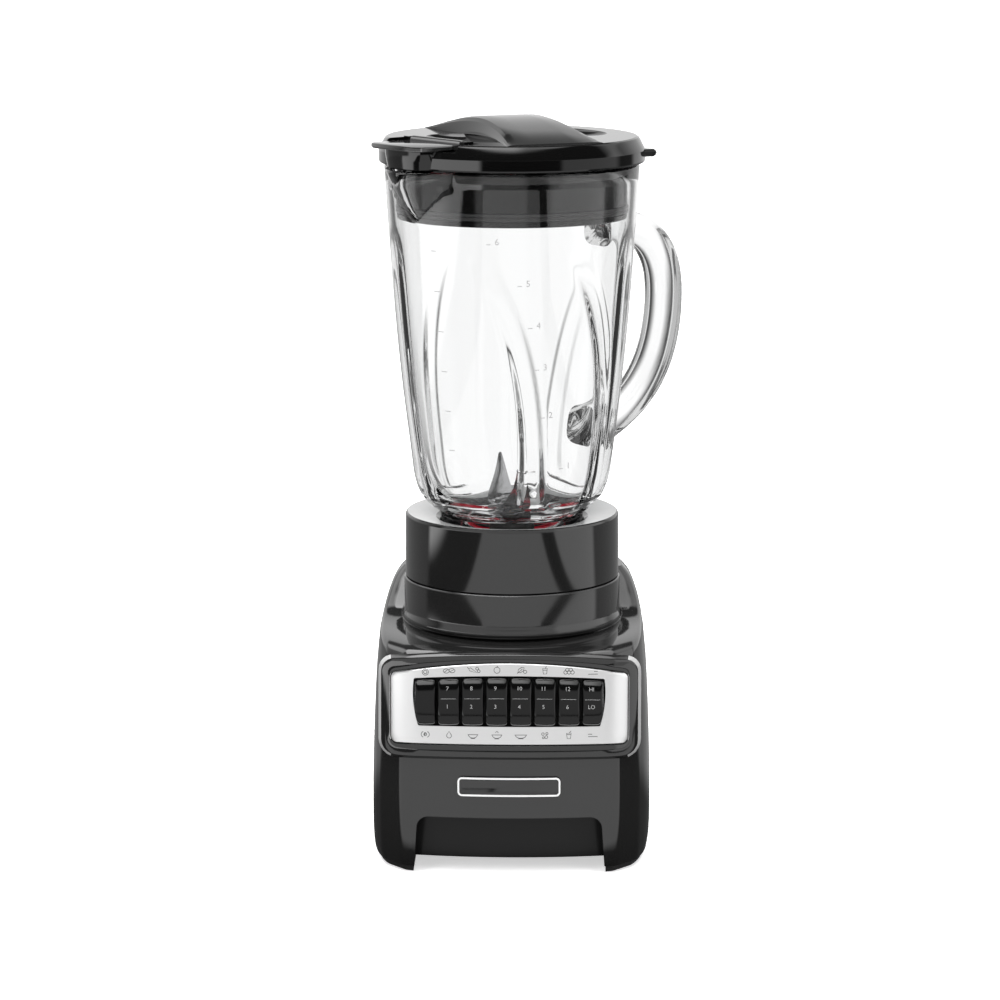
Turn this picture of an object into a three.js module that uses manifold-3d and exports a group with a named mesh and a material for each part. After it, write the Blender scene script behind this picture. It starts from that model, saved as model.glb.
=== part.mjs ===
// Countertop blender: motor base with eight piano keys, glass jar on a blade collar, lid with a pouring flap.
// Millimetres, +Z up, front towards -Y. Origin: middle of the whole object's footprint, on the table.
import * as THREE from "three";
import { mergeVertices } from "three/addons/utils/BufferGeometryUtils.js";
import Module from "manifold-3d";

const wasm = await Module();
wasm.setup();

// ---------------------------------------------------------------- driving dimensions

const MOTOR_AXIS = [-9.22, 2.95]; // where the motor's axis stands in the part's frame
const GAP = 0.3; // between pieces that touch
const WALL = 3; // moulded wall of the housing

// Base housing: at each height its half width, its depth in front of the axis and behind it, and how far
// behind the axis it is widest. A low shelf lies in front of the turret, and shoulders rise beside it.
const BASE_LEVELS = [
  [2, 73.0, 77.0, 77.0, 0],
  [8, 74.8, 79.5, 79.5, 0],
  [40, 74.8, 83.0, 82.0, 0],
  [62, 74.2, 84.0, 82.0, 0],
  [97, 72.8, 80.0, 79.0, 0],
  [112, 71.4, 78.0, 77.0, 0],
  [118, 70.8, 76.0, 75.5, 0],
  [120.6, 70.3, 66.0, 75.0, 0],
  [122, 70.0, 20.0, 74.8, 4],
  [124.6, 69.5, 3.0, 74.2, 12],
  [130, 68.0, -5.0, 72.6, 18],
  [135.5, 66.0, -11.0, 70.0, 23],
  [140, 63.8, -16.0, 66.6, 27],
  [144.5, 59.6, -20.0, 61.5, 29],
];
const PLAN_HALF_WIDTH = 75;
const PLAN_DEPTH = 84;
// A quarter of the plan outline, from the middle of the front to the side: x, and the fall back.
const PLAN = [[0, 0], [26, 1.3], [50, 5], [60, 9.2], [66, 15], [70.5, 25], [73.6, 43], [75, 84]];
const CAVITY_TOP = 145;

const TURRET_R = 57.3;
const SEAM_Z = 145.2; // top of the turret, where the jar's collar rests
const WELL_R = 50.5;
const WELL_FLOOR_Z = 124;
const FLOOR_THICK = 3;

const RECESS_HALF_WIDTH = 48;
const RECESS_TOP_Z = 32;
const RECESS_BACK_Y = -66;
const SKIRT_Z = 7.5; // lower edge of the housing between its legs
const PLATE_Z = [8, 11];
const LEG_X = 50;
const LEG_Y = 38;
const FOOT_THICK = 3.6;

// Control panel, in its own frame: x across, y inwards from the face, z up the face.
const PANEL_FOOT = [0, -84, 62];
const PANEL_TILT = 6.8 * THREE.MathUtils.DEG2RAD;
const BEZEL_HALF_WIDTH = 68.6;
const BEZEL_Z = [2.2, 58.5];
const BEZEL_ARCH = 3.5;
const BEZEL_PROUD = 2.8;
const FACEPLATE_HALF_WIDTH = 61.5;
const FACEPLATE_Z = [10.5, 52.5];
const FACEPLATE_ARCH = 6;
const KEY_COUNT = 8;
const KEY_PITCH = 12.4;
const KEY_WIDTH = 11.2;
const KEY_Z = [20.6, 45.2];
const KEY_BACK = 1.5;
const KEY_STEM_END = 19;
const KEY_NAMES = ["off_pulse", "1_7", "2_8", "3_9", "4_10", "5_11", "6_12", "low_high"];
const WINDOW_Z = [19.8, 46];
const SWITCH_Y = [11.2, 24];
const SWITCH_HALF_WIDTH = 51;
const LATCH_TRAVEL = 2.5;

// Motor, stacked along its axis.
const SHAFT_R = 4;
const SHAFT_Z = [12.5, 137];
const STATOR_Z = [54, 92];
const STATOR_BORE = 19.4;
const COIL_SLOT_R = 28;
const BOLT_Y = 33.5;
const LOWER_BRACKET_Z = [29, 32];
const UPPER_BRACKET_Z = [103, 106];
const COMMUTATOR_R = 12;
const FAN_R = 34;
const COUPLING_Z = [126, 129, 141];
const COUPLING_HEX_R = 8.5;

// Jar base: collar, blade hub and gasket.
const COLLAR_R = 56.9;
const COLLAR_TOP_Z = 180;
const NECK_R = 37.8;
const NECK_Z = 162.6;
const HUB_FLANGE_Z = [157, 159.4];

// Jar: its outside radius and its wall at each height, above the neck.
const JAR_TURN = 41 * THREE.MathUtils.DEG2RAD; // handle to the back right, spout to the front left
const JAR_LEVELS = [
  [180.5, 38.0, 6.5],
  [185, 45.5, 8.2],
  [195, 51.8, 5.4],
  [218, 54.3, 4.6],
  [250, 58.4, 4.2],
  [293, 62.4, 3.8],
  [322, 64.4, 3.6],
  [345, 65.9, 3.6],
  [366, 67.2, 4.0],
];
const JAR_SIDES = 40;
const RIM_Z = 366;
const SPOUT_REACH = 11;
const SPOUT_START_Z = 318;
const SPOUT_SPREAD = 0.27; // radians either side of the spout's middle
const HANDLE_PATH = [
  [57, 326], [78, 328.5], [97, 320], [108.3, 303], [108.6, 280], [103.5, 257], [93.5, 240], [78, 226.5],
  [50, 220],
];
const HANDLE_SIZE = [16, 20];

// Lid.
const LID_R = 70;
const LID_TOP_Z = 380;
const LID_UNDER_Z = 372;
const LID_LOW_Z = 366.5;
const SKIRT_R = 60.7;
const SKIRT_LOW_Z = 338;
const GRIP_RISE = 10;
const GRIP_TURN = 18; // degrees the grip is turned from square to the spout
const FLAP_HINGE = [-49.5, 378.4]; // along the lid's own x, and height
const FLAP_OUT = -80;
const FLAP_HALF_WIDTH = 21;
const FLAP_Z = [376.8, 379.4];
const PIN_R = 1.2;

// ---------------------------------------------------------------- materials

const finish = (color, roughness, metalness = 0) =>
  new THREE.MeshStandardMaterial({ color, roughness, metalness });
const CHARCOAL = finish(0x3b3c3d, 0.25);
const BLACK_GLOSS = finish(0x101011, 0.18);
const BLACK_MATTE = finish(0x1a1a1b, 0.6);
const RUBBER = finish(0x141414, 0.85);
const SILVER = finish(0xd8d9da, 0.28, 0.9);
const STEEL = finish(0xb9bcbf, 0.3, 1);
const IRON = finish(0x6f7276, 0.5, 0.8);
const COPPER = finish(0xa8592a, 0.4, 0.9);
const BRONZE = finish(0x9a7440, 0.45, 0.9);
const CARBON = finish(0x222222, 0.8);
const BOARD = finish(0x3f6b3a, 0.6);
const RED_SEAL = finish(0x961e32, 0.5);
const CLEAR_SEAL = finish(0x2a2a2b, 0.6);
const GLASS = new THREE.MeshStandardMaterial({
  color: 0xe6eeee, roughness: 0.03, transparent: true, opacity: 0.35,
});

// ---------------------------------------------------------------- solids

// A closed geometry as a manifold solid with its faces pointing out.
function solid(geometry) {
  const g = geometry.clone();
  g.deleteAttribute("normal");
  g.deleteAttribute("uv");
  const merged = mergeVertices(g, 1e-4);
  const index = merged.index.array;
  const kept = [];
  for (let i = 0; i < index.length; i += 3) {
    const [a, b, c] = index.subarray(i, i + 3);
    if (a !== b && b !== c && c !== a) kept.push(a, b, c);
  }
  const build = (tris) =>
    new wasm.Manifold(
      new wasm.Mesh({
        numProp: 3,
        vertProperties: new Float32Array(merged.attributes.position.array),
        triVerts: new Uint32Array(tris),
      }),
    );
  const made = build(kept);
  return made.volume() > 0 ? made : build(kept.reverse());
}

function geometryOf(manifold) {
  const mesh = manifold.getMesh();
  const g = new THREE.BufferGeometry();
  g.setAttribute("position", new THREE.BufferAttribute(mesh.vertProperties, 3));
  g.setIndex(new THREE.BufferAttribute(mesh.triVerts, 1));
  g.computeVertexNormals();
  return g;
}

const join = (...solids) => solids.reduce((a, b) => a.add(b));
const cut = (from, ...solids) => solids.reduce((a, b) => a.subtract(b), from);

const box = (x, y, z) =>
  solid(
    new THREE.BoxGeometry(x[1] - x[0], y[1] - y[0], z[1] - z[0]).translate(
      (x[0] + x[1]) / 2, (y[0] + y[1]) / 2, (z[0] + z[1]) / 2),
  );

const cylinder = (r, z, at = [0, 0], sides = 16) =>
  solid(
    new THREE.CylinderGeometry(r, r, z[1] - z[0], sides)
      .rotateX(Math.PI / 2)
      .translate(at[0], at[1], (z[0] + z[1]) / 2),
  );

// A cylinder along Y, its middle at [x, z].
const rodY = (r, y, at, sides = 14) =>
  solid(new THREE.CylinderGeometry(r, r, y[1] - y[0], sides).translate(at[0], (y[0] + y[1]) / 2, at[1]));

// A profile of [radius, height] points turned about the Z axis.
function turned(profile, sides = 32) {
  const points = profile.map(([r, z]) => new THREE.Vector2(r, z));
  if (profile[0][0] > 0) points.push(points[0].clone());
  return solid(new THREE.LatheGeometry(points, sides).rotateX(Math.PI / 2));
}

// An outline of [x, y] points raised from z[0] to z[1].
function raised(outline, z) {
  const shape = new THREE.Shape(outline.map(([x, y]) => new THREE.Vector2(x, y)));
  const g = new THREE.ExtrudeGeometry(shape, { depth: z[1] - z[0], bevelEnabled: false });
  return solid(g.translate(0, 0, z[0]));
}

// An outline in X and Z pushed along Y.
const pushed = (outline, y) =>
  raised(outline, [-y[1], -y[0]]).rotate([90, 0, 0]);

// Rings of equally many points, joined in order and closed at both ends.
function loft(rings) {
  const n = rings[0].length;
  const points = rings.flat();
  const tris = [];
  for (let k = 0; k + 1 < rings.length; k++) {
    for (let i = 0; i < n; i++) {
      const j = (i + 1) % n;
      const [a, b, c, d] = [k * n + i, k * n + j, (k + 1) * n + j, (k + 1) * n + i];
      tris.push(a, b, c, a, c, d);
    }
  }
  const last = (rings.length - 1) * n;
  for (let i = 1; i + 1 < n; i++) {
    tris.push(0, i + 1, i);
    tris.push(last, last + i, last + i + 1);
  }
  const g = new THREE.BufferGeometry();
  g.setAttribute("position", new THREE.Float32BufferAttribute(points.flat(), 3));
  g.setIndex(tris);
  return solid(g);
}

// Points of an arc about [x, y], from one angle to another in degrees.
const arc = (x, y, r, from, to, steps) =>
  Array.from({ length: steps + 1 }, (_, i) => {
    const a = (from + ((to - from) * i) / steps) * THREE.MathUtils.DEG2RAD;
    return [x + r * Math.cos(a), y + r * Math.sin(a)];
  });

// A rectangle with rounded corners.
const roundedRectangle = (x, y, r, steps = 3) => [
  ...arc(x[1] - r, y[0] + r, r, -90, 0, steps),
  ...arc(x[1] - r, y[1] - r, r, 0, 90, steps),
  ...arc(x[0] + r, y[1] - r, r, 90, 180, steps),
  ...arc(x[0] + r, y[0] + r, r, 180, 270, steps),
];

// ---------------------------------------------------------------- base housing

function basePlan(halfWidth, front, rear, z, middle) {
  const right = [
    ...PLAN.map(([x, fall]) => [x, -front + (fall * (front + middle)) / PLAN_DEPTH]),
    ...PLAN.slice(0, -1).reverse().map(([x, fall]) => [x, rear - (fall * (rear - middle)) / PLAN_DEPTH]),
  ].map(([x, y]) => [(x * halfWidth) / PLAN_HALF_WIDTH, y]);
  const left = right.slice(1, -1).reverse().map(([x, y]) => [-x, y]);
  return [...right, ...left].map(([x, y]) => [x, y, z]);
}

const baseOutside = () => loft(BASE_LEVELS.map(([z, w, f, r, m]) => basePlan(w, f, r, z, m)));

// The outside drawn in by a margin, from a given height up to the top of the room inside.
function baseInside(margin, fromZ) {
  const levels = BASE_LEVELS.filter(([z], i) => (i % 2 === 0 || z > 118) && z < CAVITY_TOP);
  return loft(levels.map(([z, w, f, r, m], i) =>
    basePlan(w - margin, f - margin, r - margin, i === 0 ? fromZ : z - margin, m)));
}

// A corner leg's own piece of the plan.
const corner = (sx, sy, z) =>
  box(sx > 0 ? [LEG_X, 90] : [-90, -LEG_X], sy > 0 ? [LEG_Y, 100] : [-100, -LEG_Y], z);
const CORNERS = { front_left: [-1, -1], front_right: [1, -1], rear_left: [-1, 1], rear_right: [1, 1] };
const SCREWS = [[-61, -22], [61, -22], [-61, 24], [61, 24]];

const toPanel = (s) =>
  s.translate(PANEL_FOOT.map((v) => -v)).rotate([THREE.MathUtils.RAD2DEG * PANEL_TILT, 0, 0]);
const fromPanel = (s) => s.rotate([-THREE.MathUtils.RAD2DEG * PANEL_TILT, 0, 0]).translate(PANEL_FOOT);

function screwBoss([x, y]) {
  const side = Math.sign(x);
  const rib = box(side > 0 ? [x, 73] : [-73, x], [y - 1.2, y + 1.2], [PLATE_Z[1] + GAP, 36]);
  return join(cylinder(5, [PLATE_Z[1] + GAP, 36], [x, y], 12), rib);
}

function housing() {
  const outside = baseOutside();
  const turret = cylinder(TURRET_R, [WELL_FLOOR_Z - FLOOR_THICK, SEAM_Z], [0, 0], 32);
  const cavity = cut(baseInside(WALL, -2), turret);
  let shell = cut(join(outside, turret), cavity);
  shell = cut(shell, cylinder(TURRET_R + 0.9, [SEAM_Z, 160], [0, 0], 32));
  shell = cut(shell, cylinder(WELL_R, [WELL_FLOOR_Z, 160], [0, 0], 32), cylinder(9, [100, 130]));

  const recessWall = box([-RECESS_HALF_WIDTH - WALL, RECESS_HALF_WIDTH + WALL],
    [-100, RECESS_BACK_Y + WALL], [SKIRT_Z, RECESS_TOP_Z + WALL]).intersect(outside);
  shell = cut(join(shell, recessWall),
    pushed(roundedRectangle([-RECESS_HALF_WIDTH, RECESS_HALF_WIDTH], [-10, RECESS_TOP_Z], 5),
      [-100, RECESS_BACK_Y]));

  const inside = baseInside(0.5, 0);
  const bosses = SCREWS.map((at) => screwBoss(at).intersect(inside));
  const posts = [-BOLT_Y, BOLT_Y].map((y) =>
    cylinder(5.5, [UPPER_BRACKET_Z[1] + GAP, WELL_FLOOR_Z - 1], [0, y], 12));
  shell = join(shell, ...bosses, ...posts);

  const underSides = box([-90, 90], [-LEG_Y, LEG_Y], [0, SKIRT_Z]);
  const underFront = box([-LEG_X, LEG_X], [-100, 100], [0, SKIRT_Z]);
  const underLegs = box([-90, 90], [-100, 100], [0, FOOT_THICK + GAP]);
  const window = fromPanel(box([-50.6, 50.6], [-20, 20], WINDOW_Z));
  const pilots = [
    ...SCREWS.map((at) => cylinder(2.2, [0, 26], at, 10)),
    ...[-BOLT_Y, BOLT_Y].map((y) => cylinder(2.3, [100, 118], [0, y], 10)),
  ];
  const louvres = Array.from({ length: 5 }, (_, i) => box([-26, 26], [60, 100], [56 + 8 * i, 59.5 + 8 * i]));
  const inlet = rodY(6, [60, 100], [0, 24]);
  return cut(shell, underSides, underFront, underLegs, window, inlet, ...pilots, ...louvres);
}

function bottomPlate() {
  const room = baseInside(WALL + GAP, -2);
  const slab = room.intersect(box([-90, 90], [-100, 100], PLATE_Z));
  const legs = Object.values(CORNERS).map(([sx, sy]) =>
    room.intersect(corner(sx, sy, [FOOT_THICK + GAP, PLATE_Z[1]])));
  const front = box([-RECESS_HALF_WIDTH - WALL - GAP, RECESS_HALF_WIDTH + WALL + GAP],
    [-100, RECESS_BACK_Y + WALL + GAP], [0, 20]);
  const vents = Array.from({ length: 7 }, (_, i) => box([-32 + 10 * i, -28 + 10 * i], [-24, 24], [0, 20]));
  const holes = SCREWS.map((at) => cylinder(2.2, [0, 20], at, 10));
  const heads = SCREWS.map((at) => cylinder(4.4, [0, PLATE_Z[0] + 1], at, 12));
  return cut(join(slab, ...legs), front, ...vents, ...holes, ...heads);
}

const foot = (sx, sy) =>
  baseInside(1.2, 0).intersect(corner(sx, sy, [0, FOOT_THICK]));

const plateScrew = (at) =>
  join(cylinder(3.8, [6.2, PLATE_Z[0] + 0.7], at, 12), cylinder(1.9, [8, 24], at, 10));

const cordInlet = () =>
  cut(join(rodY(5.6, [74, 80.2], [0, 24]), rodY(8.2, [81.6, 84.2], [0, 24]), rodY(5.6, [80, 82], [0, 24])),
    rodY(3.4, [70, 90], [0, 24], 10));

// ---------------------------------------------------------------- control panel, in the panel's frame

// How far the face falls back from its middle: a wide bow, tighter towards the corners.
const bow = (x) => (x * x) / 520 + Math.max(0, Math.abs(x) - 50) ** 2 / 44;

// A slab that follows the face, between two depths measured from it.
function bentSlab(halfWidth, depth, z) {
  const steps = 16;
  return loft(Array.from({ length: steps + 1 }, (_, i) => {
    const x = -halfWidth + (2 * halfWidth * i) / steps;
    const [near, far] = depth.map((d) => d + bow(x));
    return [[x, near, z[0]], [x, far, z[0]], [x, far, z[1]], [x, near, z[1]]];
  }));
}

// A rounded outline whose top edge is arched.
function archedOutline(halfWidth, z, arch, r) {
  const top = (x) => z[1] - arch * (x / halfWidth) ** 2;
  const edge = Array.from({ length: 9 }, (_, i) => {
    const x = (halfWidth - r) * (1 - i / 4);
    return [x, top(x)];
  });
  return [
    ...arc(-halfWidth + r, z[0] + r, r, 180, 270, 3),
    ...arc(halfWidth - r, z[0] + r, r, -90, 0, 3),
    [halfWidth, top(halfWidth) - r],
    ...edge,
    [-halfWidth, top(halfWidth) - r],
  ];
}

const KEY_WINDOW_HALF = 49.8;

// The faceplate's outline, or the edge of the pocket it lies in if it is wider by a gap.
const faceplateOutline = (gap) =>
  archedOutline(FACEPLATE_HALF_WIDTH + gap, [FACEPLATE_Z[0] - gap, FACEPLATE_Z[1] + gap], FACEPLATE_ARCH,
    3 + gap);

function controlBezel() {
  const outline = pushed(archedOutline(BEZEL_HALF_WIDTH, BEZEL_Z, BEZEL_ARCH, 9), [-30, 40]);
  const slab = bentSlab(BEZEL_HALF_WIDTH + 1, [-BEZEL_PROUD, 3], [0, 64]).intersect(outline);
  const face = toPanel(baseOutside().translate([0, -0.35, 0]));
  const pocket = bentSlab(FACEPLATE_HALF_WIDTH + 1, [-20, -BEZEL_PROUD + 1.1], [0, 64])
    .intersect(pushed(faceplateOutline(GAP), [-30, 40]));
  return cut(slab, face, pocket, box([-KEY_WINDOW_HALF, KEY_WINDOW_HALF], [-30, 40], WINDOW_Z));
}

function faceplate() {
  const slab = bentSlab(FACEPLATE_HALF_WIDTH + 1, [-BEZEL_PROUD - 0.2, -BEZEL_PROUD + 0.8], [0, 64])
    .intersect(pushed(faceplateOutline(0), [-30, 40]));
  return cut(slab, box([-KEY_WINDOW_HALF, KEY_WINDOW_HALF], [-30, 40], WINDOW_Z));
}

// Each key's cap has a raked face with a bevelled foot, on a flat stem.
function keyCap(x) {
  const at = bow(x);
  const side = [
    [-7.0, KEY_Z[1]], [-9.2, KEY_Z[0] + 4.4], [-7.4, KEY_Z[0]], [KEY_BACK, KEY_Z[0]], [KEY_BACK, KEY_Z[1]],
  ];
  const rings = [-KEY_WIDTH / 2, KEY_WIDTH / 2].map((dx) => side.map(([y, z]) => [x + dx, y + at, z]));
  const cap = loft(rings);
  return join(cap, box([x - 2, x + 2], [at, KEY_STEM_END], [29, 37]));
}

const keyX = (i) => (i - (KEY_COUNT - 1) / 2) * KEY_PITCH;

function switchFrame() {
  const block = box([-SWITCH_HALF_WIDTH, SWITCH_HALF_WIDTH], SWITCH_Y, [14, 51]);
  const slots = Array.from({ length: KEY_COUNT }, (_, i) =>
    box([keyX(i) - 2.6, keyX(i) + 2.6], [0, 40], [28.4, 37.6]));
  const channel = box([-60, 60], [12.6, 15.1], [38.8, 42.4]);
  return cut(block, channel, ...slots);
}

// The bar slides in the frame's channel; its hook stays clear of the frame at the end of the slide.
const latchBar = () => {
  const hook = -SWITCH_HALF_WIDTH - LATCH_TRAVEL - 1;
  return join(box([hook, 49.4], [13.1, 14.6], [39.2, 42]), box([hook - 1.4, hook], [13.1, 14.6], [34, 42]));
};

// A strip with one spring finger behind each key.
function keySprings() {
  const strip = box([-50, 50], [25, 25.6], [14.5, 19]);
  const fingers = Array.from({ length: KEY_COUNT }, (_, i) =>
    box([keyX(i) - 2.2, keyX(i) + 2.2], [25, 25.6], [18, 37]));
  return join(strip, ...fingers);
}

const circuitBoard = () =>
  cut(box([-48, 48], [28, 29.6], [8, 54]), ...[-44, 44].map((x) => rodY(1.8, [20, 40], [x, 50], 8)));

const badge = () =>
  bentSlab(26.8, [-0.9, 0], [0, 10.2])
    .intersect(pushed(roundedRectangle([-26.8, 26.8], [0, 10.2], 2.4, 2), [-10, 10]));

// ---------------------------------------------------------------- motor

function stator() {
  const body = raised(roundedRectangle([-36, 36], [-39, 39], 9), STATOR_Z);
  const bore = cylinder(STATOR_BORE, [0, 200], [0, 0], 32);
  const slot = cylinder(COIL_SLOT_R, [0, 200], [0, 0], 32).intersect(box([-40, 40], [-9, 9], [0, 200]));
  const holes = [-BOLT_Y, BOLT_Y].map((y) => cylinder(2.4, [0, 200], [0, y], 10));
  return cut(body, bore, slot, ...holes);
}

// A saddle coil: two legs through the slot, and an end turn round the pole above and below.
function fieldCoil(side) {
  const legs = cut(cylinder(27.4, [46, 100], [0, 0], 32), cylinder(20.1, [0, 200], [0, 0], 32))
    .intersect(side > 0 ? box([-40, 40], [0.5, 8.5], [0, 200]) : box([-40, 40], [-8.5, -0.5], [0, 200]));
  const ends = [[46, 53.4], [92.6, 100]].map((z) =>
    cut(cylinder(27.4, z, [0, 0], 32), cylinder(20.1, [0, 200], [0, 0], 32))
      .intersect(side > 0 ? box([-40, 40], [0.5, 40], z) : box([-40, 40], [-40, -0.5], z)));
  return join(legs, ...ends);
}

function lowerBracket() {
  const bars = join(box([-11, 11], [-42, 42], LOWER_BRACKET_Z), box([-40, 40], [-8, 8], LOWER_BRACKET_Z));
  const posts = [-BOLT_Y, BOLT_Y].map((y) => cylinder(5, [31, STATOR_Z[0] - GAP], [0, y], 12));
  const holes = [-BOLT_Y, BOLT_Y].map((y) => cylinder(2.4, [0, 60], [0, y], 10));
  return cut(join(bars, cylinder(10, [26.5, 35.5]), ...posts), cylinder(7, [0, 60]), ...holes);
}

function upperBracket() {
  const bar = box([-11, 11], [-42, 42], UPPER_BRACKET_Z);
  const posts = [-BOLT_Y, BOLT_Y].map((y) => cylinder(5, [STATOR_Z[1] + GAP, 104], [0, y], 12));
  const holes = [-BOLT_Y, BOLT_Y].map((y) => cylinder(2.4, [0, 120], [0, y], 10));
  return cut(join(bar, cylinder(10, [100.5, 109.5]), ...posts), cylinder(7, [98, 120]), ...holes);
}

const ringSolid = (outer, inner, z, sides = 20) =>
  turned([[inner, z[0]], [outer, z[0]], [outer, z[1]], [inner, z[1]]], sides);

const motorBolt = (y) =>
  join(cylinder(3.6, [26, LOWER_BRACKET_Z[0] - GAP], [0, y], 12), cylinder(1.95, [28, 116], [0, y], 10));

function brushHolder(side) {
  const x = side > 0 ? [14.5, 38] : [-38, -14.5];
  const channel = side > 0 ? [10, 36.5] : [-36.5, -10];
  return cut(box(x, [-5.4, 5.4], [LOWER_BRACKET_Z[1] + GAP, 45.6]), box(channel, [-3.5, 3.5], [37.4, 43.8]));
}

const brush = (side) =>
  box(side > 0 ? [COMMUTATOR_R + 0.4, 28] : [-28, -COMMUTATOR_R - 0.4], [-3.1, 3.1], [37.8, 43.4]);

function fan() {
  const disc = ringSolid(FAN_R, SHAFT_R + GAP, [23, 24.5], 24);
  const hub = ringSolid(8, SHAFT_R + GAP, [14.5, 24.5]);
  const blades = Array.from({ length: 7 }, (_, i) =>
    box([6, FAN_R - 0.5], [-0.8, 0.8], [14.5, 24]).rotate([0, 0, (360 / 7) * i]));
  return join(disc, hub, ...blades);
}

function driveCoupling() {
  const flange = cylinder(14, [COUPLING_Z[0], COUPLING_Z[1] + 0.01], [0, 0], 24);
  const hex = cylinder(COUPLING_HEX_R, [COUPLING_Z[1] - 0.5, COUPLING_Z[2]], [0, 0], 6);
  return cut(join(flange, hex), cylinder(SHAFT_R + GAP, [120, SHAFT_Z[1] + GAP]));
}

// ---------------------------------------------------------------- jar base

function collar() {
  return turned([
    [30, 153.7], [46, 153.7], [46, 133], [49.8, 133], [49.8, 156.7], [41.4, 156.7], [41.4, 174.4],
    [53.7, 176.6], [53.7, SEAM_Z + 0.4], [COLLAR_R, SEAM_Z + 0.4], [57.1, 149], [56.5, COLLAR_TOP_Z - 2.4],
    [55, COLLAR_TOP_Z], [41.2, COLLAR_TOP_Z - 2.6], [38.5, COLLAR_TOP_Z - 4.6], [38.5, 156.7], [30, 156.7],
  ], 32);
}

const hub = () =>
  turned([
    [6.2, 148], [11, 148], [12.5, 157], [37.4, HUB_FLANGE_Z[0]], [37.4, HUB_FLANGE_Z[1]],
    [15, HUB_FLANGE_Z[1] + 0.6], [12, 168], [9.5, 175.5], [6.2, 176],
  ], 32);

const driven = () => {
  const cup = join(cylinder(12.4, [130.4, 143]), cylinder(8, [142, 146.6]));
  const socket = cylinder(COUPLING_HEX_R + 0.6, [120, 141.6], [0, 0], 6);
  return cut(cup, socket, cylinder(3.3, [140, 150], [0, 0], 12));
};

// A blade bar: stations of [x, half width, height] along it, 1.5 mm thick, with a hole for the shaft.
function blade(stations, turn) {
  const rings = stations.map(([x, w, z]) => [[x, -w, z], [x, w, z], [x, w, z + 1.5], [x, -w, z + 1.5]]);
  return cut(loft(rings), cylinder(3.35, [170, 190], [0, 0], 12)).rotate([0, 0, turn]);
}

const mirrored = (half) => [...half.map(([x, w, z]) => [-x, w, z]).reverse(), ...half];
const LOWER_BLADE = mirrored([[9, 6.5, 176.6], [19, 5.8, 176.0], [27, 1.2, 182]]);
const UPPER_BLADE = mirrored([[9, 6.5, 178.6], [17, 5.6, 187], [26.5, 1.0, 205]]);

// ---------------------------------------------------------------- jar, in its own frame
// The handle lies along +X and the spout along -X.

const smooth = (t) => {
  const c = Math.min(1, Math.max(0, t));
  return c * c * (3 - 2 * c);
};

// Pulls the wall outwards round the spout, more towards the rim.
function drawSpout(geometry) {
  const p = geometry.attributes.position;
  for (let i = 0; i < p.count; i++) {
    const r = Math.hypot(p.getX(i), p.getY(i));
    const off = Math.PI - Math.abs(Math.atan2(p.getY(i), p.getX(i)));
    const rise = smooth((p.getZ(i) - SPOUT_START_Z) / (RIM_Z - SPOUT_START_Z));
    const grown = (r + SPOUT_REACH * rise * Math.exp(-((off / SPOUT_SPREAD) ** 2))) / r;
    p.setX(i, p.getX(i) * grown);
    p.setY(i, p.getY(i) * grown);
  }
  return geometry;
}

function handle() {
  const path = new THREE.CatmullRomCurve3(HANDLE_PATH.map(([r, z]) => new THREE.Vector3(r, 0, z)));
  const [thick, wide] = HANDLE_SIZE;
  const section = roundedRectangle([-thick / 2, thick / 2], [-wide / 2, wide / 2], 5, 2);
  const shape = new THREE.Shape(section.map(([x, y]) => new THREE.Vector2(x, y)));
  return solid(new THREE.ExtrudeGeometry(shape, { steps: 13, extrudePath: path, bevelEnabled: false }));
}

function jar() {
  const outer = [[31, NECK_Z], [NECK_R, NECK_Z], [NECK_R, 178], ...JAR_LEVELS.map(([z, r]) => [r, z])];
  const inner = JAR_LEVELS.map(([z, r, wall]) => [r - wall, z]).reverse();
  const points = [...outer, ...inner, outer[0]].map(([r, z]) => new THREE.Vector2(r, z));
  const wall = drawSpout(new THREE.LatheGeometry(points, JAR_SIDES, Math.PI / 2).rotateX(Math.PI / 2));
  const roomProfile = [[0, NECK_Z], ...inner.reverse(), [0, RIM_Z]].map(([r, z]) => new THREE.Vector2(r, z));
  const inside = new THREE.LatheGeometry(roomProfile, JAR_SIDES, Math.PI / 2);
  const room = solid(drawSpout(inside.rotateX(Math.PI / 2)));
  return join(solid(wall), cut(handle(), room));
}

// ---------------------------------------------------------------- lid, in the jar's frame

// The arched grip across the lid: a bar along Y, narrower at its waist and highest in the middle.
function grip() {
  const steps = 10;
  return loft(Array.from({ length: steps + 1 }, (_, i) => {
    const t = -1 + (2 * i) / steps;
    const half = 20 + 7 * t * t;
    const top = LID_TOP_Z + GRIP_RISE * Math.cos((t * Math.PI) / 2) ** 1.5 + 0.2;
    const y = 60 * t;
    const low = LID_UNDER_Z + 1;
    const side = [[half, low], [half, top - 1.5], [half - 3, top]];
    return [...side, ...side.map(([x, z]) => [-x, z]).reverse()].map(([x, z]) => [x, y, z]);
  }));
}

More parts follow.
